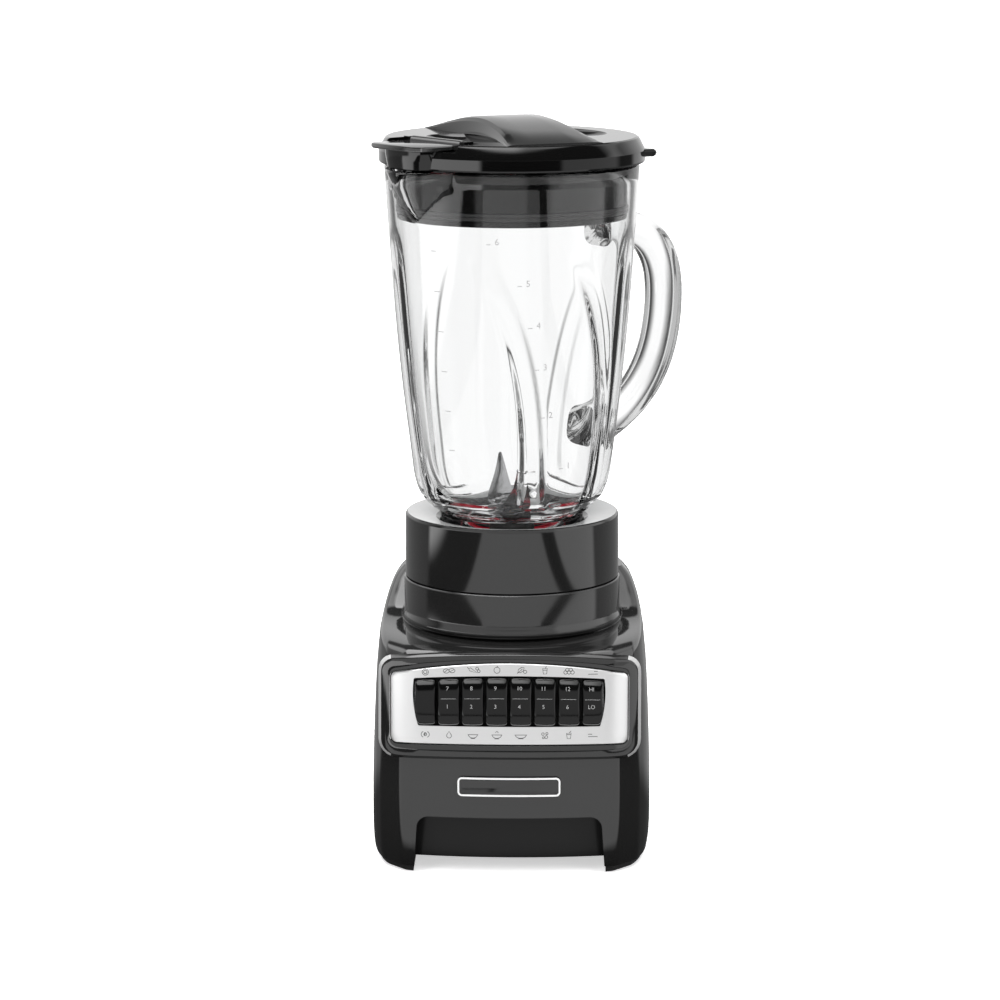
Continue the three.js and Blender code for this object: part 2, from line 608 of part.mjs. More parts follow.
function lid() {
  const body = turned([
    [0, LID_UNDER_Z], [57.7, LID_UNDER_Z], [57.7, SKIRT_LOW_Z], [SKIRT_R, SKIRT_LOW_Z], [SKIRT_R, 340.6],
    [59.2, 340.6], [59.2, 345.4], [SKIRT_R, 345.4], [SKIRT_R, LID_LOW_Z], [69, LID_LOW_Z], [LID_R, 368],
    [LID_R, 373], [66.5, 378.6], [64.5, LID_TOP_Z], [0, LID_TOP_Z],
  ], 40);
  const spoutCover = raised([[-50, -19], [-50, 19], [-72, 19], [-76, 13], [-76, -13], [-72, -19]].reverse(),
    [LID_LOW_Z, 376.3]);
  const tabs = [-45, 45].map((a) => box([66, 76], [-4, 4], [369.5, 373.5]).rotate([0, 0, a]));
  const scoop = (x) => solid(new THREE.SphereGeometry(1, 14, 8).scale(19, 30, 6).translate(x, 0, 381.2));
  const hollowed = cut(join(body, spoutCover, ...tabs), scoop(-27), scoop(34));
  const flapSeat = box([-90, -45.4], [-29, 29], [376.3, 400]);
  const knuckleRoom = box([-53.5, -45.4], [-29, 29], [374.6, 400]);
  const pourHole = box([-76, -61.5], [-14, 14], [360, 380]);
  const skirtNotch = box([-66, -50], [-14, 14], [330, LID_UNDER_Z - 0.5]);
  const ears = [-1, 1].map((s) => box([-52.5, -46.5], s > 0 ? [21, 24.8] : [-24.8, -21], [373, 381]));
  const gripped = join(hollowed, grip().rotate([0, 0, -GRIP_TURN]));
  const shell = cut(gripped, flapSeat, knuckleRoom, pourHole, skirtNotch);
  return cut(join(shell, ...ears), rodY(PIN_R + GAP, [-24.9, 24.9], FLAP_HINGE));
}

function spoutFlap() {
  const half = [[-54.5, -20.4], [-57.5, -FLAP_HALF_WIDTH], [-77, -FLAP_HALF_WIDTH], [FLAP_OUT, -16]];
  const plate = raised([...half, ...half.map(([x, y]) => [x, -y]).reverse()], FLAP_Z);
  const knuckle = rodY(3, [-20.4, 20.4], FLAP_HINGE);
  const web = box([-55.5, -49.5], [-20.4, 20.4], FLAP_Z);
  return cut(join(plate, knuckle, web), rodY(PIN_R + GAP, [-21, 21], FLAP_HINGE));
}

const flapPin = () => rodY(PIN_R, [-24.6, 24.6], FLAP_HINGE);
const lidGasket = () => ringSolid(61.3, 59.5, [341, 345], 40);

// ---------------------------------------------------------------- assembly

function add(parent, name, manifold, material) {
  const mesh = new THREE.Mesh(geometryOf(manifold), material);
  mesh.name = name;
  parent.add(mesh);
}

function addBase(base) {
  add(base, "housing", housing(), CHARCOAL);
  add(base, "bottom_plate", bottomPlate(), BLACK_MATTE);
  for (const [name, [sx, sy]] of Object.entries(CORNERS)) add(base, `foot_${name}`, foot(sx, sy), RUBBER);
  SCREWS.forEach((at, i) => add(base, `plate_screw_${i + 1}`, plateScrew(at), STEEL));
  add(base, "cord_inlet", cordInlet(), BLACK_MATTE);
}

function addPanel(base) {
  const panel = new THREE.Group();
  panel.position.set(...PANEL_FOOT);
  panel.rotation.x = -PANEL_TILT;
  base.add(panel);
  add(panel, "control_bezel", controlBezel(), CHARCOAL);
  add(panel, "faceplate", faceplate(), SILVER);
  KEY_NAMES.forEach((name, i) => add(panel, `key_${name}`, keyCap(keyX(i)), BLACK_GLOSS));
  add(panel, "switch_frame", switchFrame(), BLACK_MATTE);
  add(panel, "latch_bar", latchBar(), STEEL);
  add(panel, "key_spring_comb", keySprings(), BRONZE);
  add(panel, "circuit_board", circuitBoard(), BOARD);

  const nameplate = new THREE.Group();
  nameplate.position.set(0, -84.15, 44.2);
  base.add(nameplate);
  add(nameplate, "badge", badge(), SILVER);
}

function addMotor(base) {
  add(base, "motor_stator", stator(), IRON);
  add(base, "field_coil_front", fieldCoil(-1), COPPER);
  add(base, "field_coil_rear", fieldCoil(1), COPPER);
  add(base, "motor_bracket_lower", lowerBracket(), STEEL);
  add(base, "motor_bracket_upper", upperBracket(), STEEL);
  add(base, "bearing_lower", ringSolid(6.7, SHAFT_R + 0.12, [27.5, 35], 24), BRONZE);
  add(base, "bearing_upper", ringSolid(6.7, SHAFT_R + 0.12, [101.5, 108.5], 24), BRONZE);
  add(base, "motor_bolt_front", motorBolt(-BOLT_Y), STEEL);
  add(base, "motor_bolt_rear", motorBolt(BOLT_Y), STEEL);
  for (const [name, side] of [["left", -1], ["right", 1]]) {
    add(base, `brush_holder_${name}`, brushHolder(side), BRONZE);
    add(base, `brush_${name}`, brush(side), CARBON);
  }
}

function addArmature(armature) {
  const clear = SHAFT_R + GAP;
  add(armature, "armature_shaft", cylinder(SHAFT_R, SHAFT_Z), STEEL);
  add(armature, "armature_core", ringSolid(18.6, clear, [STATOR_Z[0] + 0.5, STATOR_Z[1] - 0.5], 24), IRON);
  add(armature, "armature_winding_lower", ringSolid(16.6, clear, [47.6, 54]), COPPER);
  add(armature, "armature_winding_upper", ringSolid(16.6, clear, [92, 98.5]), COPPER);
  add(armature, "commutator", ringSolid(COMMUTATOR_R, clear, [36.2, 47.2]), COPPER);
  add(armature, "cooling_fan", fan(), BLACK_MATTE);
  add(armature, "drive_coupling", driveCoupling(), RUBBER);
}

function addJarBase(unit) {
  add(unit, "jar_collar", collar(), CHARCOAL);
  add(unit, "blade_hub", hub(), STEEL);
  add(unit, "jar_gasket", ringSolid(37.2, 29.5, [159.9 + GAP, NECK_Z - GAP], 32), RED_SEAL);
  add(unit, "blade_bushing", ringSolid(5.9, 3.14, [149, 175], 24), BRONZE);
}

function addBlades(blades) {
  add(blades, "blade_shaft", cylinder(3, [142, 187], [0, 0], 16), STEEL);
  add(blades, "blade_lower", blade(LOWER_BLADE, 25), STEEL);
  add(blades, "blade_upper", blade(UPPER_BLADE, 105), STEEL);
  const nut = cut(cylinder(6, [180.5, 185.5], [0, 0], 6), cylinder(3.3, [170, 190], [0, 0], 12));
  add(blades, "blade_nut", nut, STEEL);
  add(blades, "driven_coupling", driven(), BLACK_MATTE);
}

function addLid(top) {
  add(top, "lid", lid(), BLACK_GLOSS);
  add(top, "lid_gasket", lidGasket(), CLEAR_SEAL);
  add(top, "flap_pin", flapPin(), STEEL);
  add(top, "spout_flap", spoutFlap(), BLACK_GLOSS);
}

const blender = new THREE.Group();
blender.name = "blender";
blender.position.set(MOTOR_AXIS[0], MOTOR_AXIS[1], 0);

const base = new THREE.Group();
const armature = new THREE.Group();
const jarUnit = new THREE.Group();
const jarTop = new THREE.Group();
jarTop.rotation.z = JAR_TURN;
blender.add(base, armature, jarUnit);
jarUnit.add(jarTop);

addBase(base);
addPanel(base);
addMotor(base);
addArmature(armature);
addJarBase(jarUnit);
addBlades(jarUnit);
add(jarTop, "jar", jar(), GLASS);
addLid(jarTop);

export default blender;
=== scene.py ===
"""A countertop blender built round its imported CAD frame: pieces, materials, studio and camera.

Pieces are drawn in millimetres about the motor's axis, with the front towards -Y. finish_piece()
moves them into the frame's metres.
"""

import math

import bmesh
import bpy
from mathutils import Euler, Matrix, Vector


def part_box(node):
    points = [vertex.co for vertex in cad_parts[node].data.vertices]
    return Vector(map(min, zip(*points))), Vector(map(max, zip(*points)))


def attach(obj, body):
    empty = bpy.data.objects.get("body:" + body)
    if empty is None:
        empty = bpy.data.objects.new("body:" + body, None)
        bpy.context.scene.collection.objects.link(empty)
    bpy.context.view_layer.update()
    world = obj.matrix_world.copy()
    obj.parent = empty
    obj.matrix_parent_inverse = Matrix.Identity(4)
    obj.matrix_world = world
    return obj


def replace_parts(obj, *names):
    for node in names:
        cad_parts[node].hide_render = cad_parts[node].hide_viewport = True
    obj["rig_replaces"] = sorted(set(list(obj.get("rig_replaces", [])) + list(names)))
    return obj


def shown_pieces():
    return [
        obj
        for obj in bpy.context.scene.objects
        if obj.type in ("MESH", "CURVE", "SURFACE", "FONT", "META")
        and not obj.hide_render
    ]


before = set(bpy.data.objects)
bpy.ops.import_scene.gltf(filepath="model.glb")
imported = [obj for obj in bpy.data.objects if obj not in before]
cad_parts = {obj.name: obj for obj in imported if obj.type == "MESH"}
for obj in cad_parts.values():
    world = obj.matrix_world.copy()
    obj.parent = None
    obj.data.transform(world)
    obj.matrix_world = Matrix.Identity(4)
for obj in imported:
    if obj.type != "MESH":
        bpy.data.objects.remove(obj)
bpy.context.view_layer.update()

MM = 0.001
shaft_low, shaft_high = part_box("armature_shaft")
AXIS = Vector(((shaft_low[0] + shaft_high[0]) / 2, (shaft_low[1] + shaft_high[1]) / 2, 0))
JAR_TURN = math.radians(41)  # the jar's own frame has the handle along +X and the spout along -X

# ------------------------------------------------------------------ driving dimensions, millimetres

# Housing levels: height, half width, depth in front of the axis, depth behind it, and how far
# behind the axis the level is widest.
BASE_LEVELS = [
    (2, 73.0, 77.0, 77.0, 0), (8, 74.8, 79.5, 79.5, 0), (40, 74.8, 83.0, 82.0, 0),
    (62, 74.2, 84.0, 82.0, 0), (97, 72.8, 80.0, 79.0, 0), (112, 71.4, 78.0, 77.0, 0),
    (118, 70.8, 76.0, 75.5, 0), (120.6, 70.3, 66.0, 75.0, 0), (122, 70.0, 20.0, 74.8, 4),
    (124.6, 69.5, 3.0, 74.2, 12), (130, 68.0, -5.0, 72.6, 18), (135.5, 66.0, -11.0, 70.0, 23),
    (140, 63.8, -16.0, 66.6, 27), (144.5, 59.6, -20.0, 61.5, 29),
]
# Quarter of the housing's plan: distance from the middle, and how far the outline has fallen back.
PLAN = [
    (0, 0), (26, 1.3), (44, 3.8), (55.5, 6.6), (57.2, 7.4), (58.6, 8.6), (66.8, 18.6), (68, 20.4),
    (68.8, 22.4), (71.6, 32), (73.6, 46), (75, 84),
]
PLAN_HALF_WIDTH, PLAN_DEPTH = 75, 84
WALL = 3.0
TURRET_R, TURRET_FOOT_Z, SEAM_Z = 57.3, 121, 145.2
WELL_R, WELL_FLOOR_Z = 50.5, 124
WELL_HEIGHT = (WELL_FLOOR_Z, 170)
RECESS_HALF_WIDTH, RECESS_TOP_Z, RECESS_BACK_Y = 48, 32, -66
SKIRT_Z, FOOT_THICK = 7.5, 3.6
LEG_X, LEG_Y = 50, 38
BOW = 520  # the front's wide bow falls back by x * x / BOW
FAR = 100  # past every outer face of the base

PANEL_FOOT = Vector((0, -84, 62))
PANEL_TILT = math.radians(6.8)
BEZEL_HALF_WIDTH, BEZEL_Z, BEZEL_ARCH, BEZEL_PROUD = 68.6, (2.2, 58.5), 3.5, 2.8
PLATE_HALF_WIDTH, PLATE_Z, PLATE_ARCH = 61.5, (10.5, 52.5), 6
WINDOW_HALF, WINDOW_Z = 49.8, (19.8, 46)
PLATE_DEPTH = (-3.0, -2.0)
KEY_PITCH, KEY_WIDTH, KEY_Z, KEY_BACK = 12.4, 11.2, (20.6, 45.2), 1.5
KEY_ARCH = 1.7  # how much lower the end keys' tops are
KEYS = [
    ("key_off_pulse", "", ""), ("key_1_7", "7", "1"), ("key_2_8", "8", "2"), ("key_3_9", "9", "3"),
    ("key_4_10", "10", "4"), ("key_5_11", "11", "5"), ("key_6_12", "12", "6"),
    ("key_low_high", "HI", "LO"),
]
ICON_SIZE, UPPER_ICON_Z, LOWER_ICON_Z = 0.82, 49.2, 15.2
ICON_LINE = 0.26
LEGEND_HEIGHT, UPPER_LEGEND_Z, LOWER_LEGEND_Z, DIVIDER_Z = 2.1, 40.2, 30.8, 35.0
BADGE_FOOT = (0, -84.15, 44.6)
BADGE_HALF_WIDTH, BADGE_HEIGHT = 26.8, 10.2

COLLAR_R, COLLAR_TOP_Z = 56.9, 180
NECK_R, NECK_Z = 37.8, 162.6
JAR_LEVELS = [  # height, outside radius, wall
    (180.5, 38.0, 6.5), (185, 45.5, 8.2), (195, 51.8, 5.4), (218, 54.3, 4.6), (250, 58.4, 4.2),
    (293, 62.4, 3.8), (322, 64.4, 3.6), (345, 65.9, 3.6), (366, 67.2, 4.0),
]
RIM_Z, SPOUT_START_Z, SPOUT_REACH, SPOUT_SPREAD = 366, 339, 11.5, 0.4
HANDLE_PATH = [
    (54, 324), (66, 328), (79, 328.3), (97, 320), (107.5, 303), (108.4, 280), (103.5, 257),
    (93.5, 240), (78, 226.5), (64, 221), (50, 219),
]
HANDLE_SIZE = (16, 20)

LID_R, LID_TOP_Z, LID_UNDER_Z, LID_LOW_Z, SKIRT_R = 70, 380, 372, 366.5, 60.7
GRIP_TURN = 18  # degrees the grip is turned from square to the spout
SPOUT_COVER_TOP_Z = 376.3
FLAP_HINGE = (-49.5, 378.4)
PIN_R, PIN_PLAY = 1.2, 0.3

# ------------------------------------------------------------------ mesh tools


def chaikin(points, rounds=1, closed=False):
    """Rounds a polyline's corners by cutting each in turn; an open line keeps its ends."""
    for _ in range(rounds):
        n = len(points)
        pairs = [(points[i], points[(i + 1) % n]) for i in range(n if closed else n - 1)]
        halved = []
        for a, b in pairs:
            halved.append(tuple(p * 0.75 + q * 0.25 for p, q in zip(a, b)))
            halved.append(tuple(p * 0.25 + q * 0.75 for p, q in zip(a, b)))
        points = halved if closed else [points[0], *halved[1:-1], points[-1]]
    return points


def linked(name, data):
    obj = bpy.data.objects.new(name, data)
    bpy.context.scene.collection.objects.link(obj)
    return obj


def tidied(mesh, weld=0.0):
    """Welds vertices closer than weld and turns every face outwards."""
    bm = bmesh.new()
    bm.from_mesh(mesh)
    if weld:
        bmesh.ops.remove_doubles(bm, verts=bm.verts, dist=weld)
    bmesh.ops.recalc_face_normals(bm, faces=bm.faces)
    bm.to_mesh(mesh)
    bm.free()
    return mesh


def from_data(verts, faces):
    mesh = bpy.data.meshes.new("piece")
    mesh.from_pydata([tuple(v) for v in verts], [], faces)
    return linked("piece", tidied(mesh))


def loft(rings, caps=True, loop=False):
    """Joins equally long closed rings in order, with caps, or the last to the first as a loop."""
    n = len(rings[0])
    verts = [p for ring in rings for p in ring]
    faces = []
    for k in range(len(rings) if loop else len(rings) - 1):
        a, b = k * n, ((k + 1) % len(rings)) * n
        faces += [(a + i, a + (i + 1) % n, b + (i + 1) % n, b + i) for i in range(n)]
    if caps and not loop:
        last = (len(rings) - 1) * n
        faces += [tuple(reversed(range(n))), tuple(range(last, last + n))]
    return from_data(verts, faces)


def turned(profile, sides=96, shape=None):
    """A closed (radius, height) profile turned about Z; shape(r, z, angle) may bend each point."""
    rings = []
    for i in range(sides):
        a = 2 * math.pi * i / sides
        bent = [shape(r, z, a) if shape else (r, z) for r, z in profile]
        rings.append([(r * math.cos(a), r * math.sin(a), z) for r, z in bent])
    return loft(rings, loop=True)


def round_ring(r, z, sides):
    turns = [2 * math.pi * i / sides for i in range(sides)]
    return [(r * math.cos(a), r * math.sin(a), z) for a in turns]


def rod(radius, z, sides=48):
    """An upright rod with small chamfers at its ends."""
    edge = min(0.3, radius / 6)
    stations = [(radius - edge, z[0]), (radius, z[0] + edge), (radius, z[1] - edge),
                (radius - edge, z[1])]
    return loft([round_ring(r, h, sides) for r, h in stations])


def lying_rod(radius, along, at, sides):
    """A rod along Y whose middle line is at (x, z); its span is measured towards the front."""
    middle = Matrix.Translation((at[0], 0, at[1]))
    return moved(rod(radius, along, sides), middle @ Matrix.Rotation(math.radians(90), 4, "X"))


def block(x, y, z):
    corners = [(x[0], y[0]), (x[1], y[0]), (x[1], y[1]), (x[0], y[1])]
    return loft([[(*c, h) for c in corners] for h in z])


def ball(size, at):
    """An ellipsoid with the given half sizes, its poles cut off flat."""
    around, up = 48, 24
    rings = []
    for k in range(1, up):
        p = math.pi * k / up
        ring = round_ring(math.sin(p), -math.cos(p), around)
        rings.append([tuple(c + s * u for c, s, u in zip(at, size, unit)) for unit in ring])
    return loft(rings)


def combine(target, tools, operation):
    """Applies one boolean after another to target and deletes the tools."""
    for tool in tools:
        modifier = target.modifiers.new("cut", "BOOLEAN")
        modifier.object, modifier.operation, modifier.solver = tool, operation, "MANIFOLD"
        bake_modifiers(target)
        bpy.data.objects.remove(tool)
    return target


def cut(target, *tools):
    return combine(target, tools, "DIFFERENCE")


def join(target, *tools):
    return combine(target, tools, "UNION")


def baked(obj):
    """A mesh of the object as it stands with its modifiers."""
    depsgraph = bpy.context.evaluated_depsgraph_get()
    return bpy.data.meshes.new_from_object(obj.evaluated_get(depsgraph))


def bake_modifiers(obj):
    done = baked(obj)
    obj.modifiers.clear()
    obj.data = done


def moved(obj, matrix):
    obj.data.transform(matrix)
    return obj


def add_shell(obj, other, material_index=0):
    """Adds another object's faces to obj as one more closed shell, with its own material slot."""
    bm = bmesh.new()
    bm.from_mesh(obj.data)
    before = len(bm.faces)
    bm.from_mesh(other.data)
    bm.faces.ensure_lookup_table()
    for face in bm.faces[before:]:
        face.material_index = material_index
    bm.to_mesh(obj.data)
    bm.free()
    bpy.data.objects.remove(other)
    return obj


def finish_piece(obj, name, body, material, replaces=(), smooth=32, bevel=0, extra=()):
    """Names a piece, moves it into the frame, shades it and ties it to its CAD body.

    smooth is the angle in degrees up to which edges are shaded smooth.
    """
    obj.data.transform(Matrix.Translation(AXIS) @ Matrix.Scale(MM, 4))
    obj.name = obj.data.name = name
    slots = [polygon.material_index for polygon in obj.data.polygons]
    obj.data.materials.clear()
    for m in (material, *extra):
        obj.data.materials.append(m)
    obj.data.polygons.foreach_set("material_index", slots)
    if bevel:
        modifier = obj.modifiers.new("edges", "BEVEL")
        modifier.width, modifier.segments, modifier.limit_method = bevel * MM, 3, "ANGLE"
        modifier.angle_limit, modifier.harden_normals = math.radians(40), True
        bake_modifiers(obj)
    for polygon in obj.data.polygons:
        polygon.use_smooth = True
    obj.data.set_sharp_from_angle(angle=math.radians(smooth))
    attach(obj, body)
    if replaces:
        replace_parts(obj, *replaces)
    return obj


# ------------------------------------------------------------------ materials


def shader(name, colour=(0.5, 0.5, 0.5), roughness=0.4, metallic=0.0, **sockets):
    material = bpy.data.materials.new(name)
    material.use_nodes = True
    tree = material.node_tree
    p = tree.nodes["Principled BSDF"]
    p.inputs["Base Color"].default_value = (*colour, 1)
    p.inputs["Roughness"].default_value = roughness
    p.inputs["Metallic"].default_value = metallic
    for socket, value in sockets.items():
        p.inputs[socket.replace("_", " ")].default_value = value
    return material, tree, p


def noise(tree, scale, detail=3.0, stretch=(1, 1, 1)):
    """A noise texture in the object's own coordinates, so it moves with the piece."""
    place = tree.nodes.new("ShaderNodeTexCoord")
    size = tree.nodes.new("ShaderNodeMapping")
    size.inputs["Scale"].default_value = stretch
    grain = tree.nodes.new("ShaderNodeTexNoise")
    grain.inputs["Scale"].default_value = scale
    grain.inputs["Detail"].default_value = detail
    tree.links.new(place.outputs["Object"], size.inputs["Vector"])
    tree.links.new(size.outputs["Vector"], grain.inputs["Vector"])
    return grain.outputs["Fac"]


def ramp(tree, source, low, high, at=(0.3, 0.7)):
    spread = tree.nodes.new("ShaderNodeMapRange")
    spread.inputs["From Min"].default_value, spread.inputs["From Max"].default_value = at
    spread.inputs["To Min"].default_value, spread.inputs["To Max"].default_value = low, high
    tree.links.new(source, spread.inputs["Value"])
    return spread.outputs["Result"]


def tint(tree, p, source, dark, light):
    """Varies the colour a little between two shades."""
    mix = tree.nodes.new("ShaderNodeMix")
    mix.data_type = "RGBA"
    mix.inputs["A"].default_value, mix.inputs["B"].default_value = (*dark, 1), (*light, 1)
    tree.links.new(source, mix.inputs["Factor"])
    tree.links.new(mix.outputs["Result"], p.inputs["Base Color"])


def bump(tree, p, source, strength, distance, rounded=0):
    node = tree.nodes.new("ShaderNodeBump")
    node.inputs["Strength"].default_value = strength
    node.inputs["Distance"].default_value = distance * MM
    tree.links.new(source, node.inputs["Height"])
    if rounded:
        edge = tree.nodes.new("ShaderNodeBevel")
        edge.samples = 4
        edge.inputs["Radius"].default_value = rounded * MM
        tree.links.new(edge.outputs["Normal"], node.inputs["Normal"])
    tree.links.new(node.outputs["Normal"], p.inputs["Normal"])


def plastic(name, shade, roughness, grain=900, depth=0.003, rounded=0, level=0.5, strength=0.1,
            shades=None):
    """Grained plastic of one grey, or between the two colours in shades."""
    material, tree, p = shader(name, (shade,) * 3, roughness, Specular_IOR_Level=level)
    fine = noise(tree, grain)
    worn = ramp(tree, noise(tree, 35), roughness * 0.85, roughness * 1.2)
    tree.links.new(worn, p.inputs["Roughness"])
    dark, light = shades or ((shade * 0.9,) * 3, (shade * 1.1,) * 3)
    tint(tree, p, noise(tree, 18), dark, light)
    bump(tree, p, fine, strength, depth, rounded)
    return material


def metal(name, colour, roughness, stretch=(1, 1, 1), grain=500, depth=0.01, strength=0.2,
          vary=1.0):
    """Metal with streaks along the axes that stretch makes small; vary scales their contrast."""
    material, tree, p = shader(name, colour, roughness, 1.0)
    streak = noise(tree, grain, 4, stretch)
    worn = ramp(tree, streak, roughness * (1 - 0.25 * vary), roughness * (1 + 0.3 * vary))
    tree.links.new(worn, p.inputs["Roughness"])
    dark = tuple(c * (1 - 0.07 * vary) for c in colour)
    light = tuple(min(1, c * (1 + 0.05 * vary)) for c in colour)
    tint(tree, p, streak, dark, light)
    bump(tree, p, streak, strength, depth)
    return material


CHARCOAL = plastic("charcoal_gloss", 0.01, 0.06, depth=0.001, rounded=0.7, level=0.75)
# Painted shade: a darker, less glossy copy of the housing plastic for the inside of the front
# recess, where shade falls.
RECESS_PAINTED_SHADE = plastic("recess_painted_shade", 0.008, 0.2, level=0.22)
# Painted reflection: a pale grey on the collar's top dish, standing in for the bright studio
# reflected in its black gloss.
COLLAR_PAINTED_REFLECTION = plastic("collar_top_painted_reflection", 0.4, 0.16, level=0.7)
COLLAR = plastic("collar_gloss", 0.008, 0.04, depth=0.0005, rounded=0.15, level=0.75)
# Painted highlight: a light grey for the bezel's slanted side flanks and lower corners, standing in
# for the chrome-like reflection along them.
BEZEL_PAINTED_HIGHLIGHT = plastic("bezel_painted_highlight", 0.42, 0.1, depth=0.0005, level=0.75)
LID_BLACK = plastic("lid_black", 0.002, 0.07, depth=0.0008, rounded=0.15, level=0.5)
FLAP_TOP = plastic("flap_black", 0.02, 0.05, depth=0.0002, strength=0.02, level=0.9)
KEY_BLACK = plastic("key_black", 0.002, 0.1, level=0.35)
BLACK_MATTE = plastic("black_matte", 0.012, 0.5, grain=1600, depth=0.03, strength=0.4)
RUBBER = plastic("rubber", 0.018, 0.75, grain=1800, depth=0.04, strength=0.5)
COUPLING = plastic("coupling_plastic", 0.02, 0.35)
RED_SEAL = plastic("red_seal", 0.3, 0.42, grain=1200, depth=0.02,
                   shades=((0.72, 0.012, 0.04), (0.8, 0.018, 0.05)))
DARK_SEAL = plastic("dark_seal", 0.05, 0.5, grain=1200, depth=0.02)
BOARD = plastic("board", 0.05, 0.5, shades=((0.01, 0.09, 0.04), (0.015, 0.12, 0.05)))
CARBON = plastic("carbon", 0.02, 0.6)
INK = plastic("ink_dark", 0.03, 0.5)
LEGEND = plastic("legend_pale", 0.3, 0.5)
BADGE_LINE = plastic("badge_pale", 0.8, 0.4)
GLASS_MARK = plastic("glass_mark", 0.42, 0.6)
PLATE = metal("faceplate_satin", (0.84, 0.84, 0.84), 0.3, stretch=(0.03, 1, 1), grain=700,
              depth=0.0001, strength=0.01, vary=0.12)
STEEL = metal("blade_steel", (0.66, 0.66, 0.67), 0.16, stretch=(1, 0.1, 1))
SCREW = metal("screw_steel", (0.5, 0.5, 0.52), 0.3)
BRACKET = metal("bracket_steel", (0.55, 0.56, 0.58), 0.35)
LAMINATION = metal("lamination_steel", (0.3, 0.3, 0.31), 0.45, stretch=(0.01, 0.01, 1), grain=900,
                   depth=0.1)
COPPER = metal("commutator_copper", (0.8, 0.42, 0.25), 0.28)
WIRE = metal("enamelled_copper", (0.55, 0.2, 0.09), 0.3, stretch=(0.05, 0.05, 1), grain=700,
             depth=0.3)
BRONZE = metal("bronze", (0.5, 0.33, 0.16), 0.4)
BRASS = metal("brass", (0.7, 0.53, 0.22), 0.3)



def clear_glass():
    """Glass with the faint waviness of pressed glass, a trace of grey, and a pale shadow."""
    material, tree, p = shader("clear_glass", (0.99, 0.993, 0.993), 0.0, IOR=1.48,
                               Transmission_Weight=1.0)
    bump(tree, p, noise(tree, 26, 1.5, (1, 1, 0.35)), 0.12, 0.9)
    shade = tree.nodes.new("ShaderNodeBsdfTransparent")
    shade.inputs["Color"].default_value = (0.86, 0.87, 0.87, 1)
    rays, pick = tree.nodes.new("ShaderNodeLightPath"), tree.nodes.new("ShaderNodeMixShader")
    out = tree.nodes["Material Output"]
    tree.links.new(rays.outputs["Is Shadow Ray"], pick.inputs["Fac"])
    tree.links.new(p.outputs["BSDF"], pick.inputs[1])
    tree.links.new(shade.outputs["BSDF"], pick.inputs[2])
    tree.links.new(pick.outputs["Shader"], out.inputs["Surface"])
    return material


GLASS = clear_glass()

# ------------------------------------------------------------------ base housing


def base_plan(half_width, front, rear, z, middle):
    """The housing's outline at one height, widest at y = middle."""
    right = [(x, -front + fall * (front + middle) / PLAN_DEPTH) for x, fall in PLAN]
    right += [(x, rear - fall * (rear - middle) / PLAN_DEPTH) for x, fall in reversed(PLAN[:-1])]
    right = [(x * half_width / PLAN_HALF_WIDTH, y) for x, y in right]
    left = [(-x, y) for x, y in reversed(right[1:-1])]
    return [(x, y, z) for x, y in chaikin(right + left, 2, closed=True)]


def base_solid(margin=0.0, drop=0.0, foot=None):
    """The housing's outside, or its room if drawn in, lowered and carried down to a foot."""
    rings = [base_plan(w - margin, f - margin, r - margin, z - drop, m)
             for z, w, f, r, m in chaikin(BASE_LEVELS, 2)]
    if foot is not None:
        rings.insert(0, [(x, y, foot) for x, y, _ in rings[0]])
    return loft(rings)


def panel_matrix():
    return Matrix.Translation(PANEL_FOOT) @ Matrix.Rotation(-PANEL_TILT, 4, "X")


def rounded_slot(x, z, y, r):
    """A rounded rectangle in X and Z pushed along Y."""
    outline = []
    for cx, cz, start in ((x[1] - r, z[0] + r, -90), (x[1] - r, z[1] - r, 0),
                          (x[0] + r, z[1] - r, 90), (x[0] + r, z[0] + r, 180)):
        for turn in range(start, start + 91, 15):
            a = math.radians(turn)
            outline.append((cx + r * math.cos(a), cz + r * math.sin(a)))
    return loft([[(px, depth, pz) for px, pz in outline] for depth in y])


def recess_cutter():
    """The front recess: sides that spread downwards, round top corners and a bowed back."""
    corner, spread, steps, foot = 6, 2.0, 40, -10
    rings = []
    for i in range(steps + 1):
        u = -1 + 2 * i / steps
        x = RECESS_HALF_WIDTH * math.sin(u * math.pi / 2)
        over = max(0, abs(x) - (RECESS_HALF_WIDTH - corner))
        top = RECESS_TOP_Z - corner + math.sqrt(max(0, corner**2 - over**2))
        back = RECESS_BACK_Y - 3.5 + x * x / BOW
        ring = []
        for y, z in ((-FAR, foot), (back, foot), (back, top), (-FAR, top)):
            wider = 1 + spread / RECESS_HALF_WIDTH * (RECESS_TOP_Z - z) / RECESS_TOP_Z
            ring.append((x * wider, y, z))
        rings.append(ring)
    return loft(rings)


def build_turret(shell):
    """Adds the round turret with its flared foot, and clears the room under it and its well."""
    flare = [(-8, TURRET_FOOT_Z), (0.2, 121.6), (1.0, 122.2), (1.6, 123.2), (1.8, 124.4),
             (1.5, 125.8), (0.9, 127), (0.55, 128.2), (0.5, 128.8), (0.3, SEAM_Z - 1),
             (0.3, SEAM_Z - 0.5), (-0.2, SEAM_Z), (-8, SEAM_Z)]
    cut(shell, rod(TURRET_R + 0.9, (SEAM_Z - 9, WELL_HEIGHT[1]), sides=128))
    join(shell, rod(TURRET_R - 4, (TURRET_FOOT_Z, SEAM_Z - 0.01), sides=128),
         turned([(TURRET_R + out, z) for out, z in flare], 128))
    room = base_solid(margin=WALL, drop=WALL, foot=-2)
    cut(room, rod(TURRET_R, (WELL_HEIGHT[0] - WALL, WELL_HEIGHT[1]), sides=128))
    shaft_hole = rod(9, (100, 130))
    cut(shell, room, rod(WELL_R, WELL_HEIGHT, sides=96), shaft_hole)


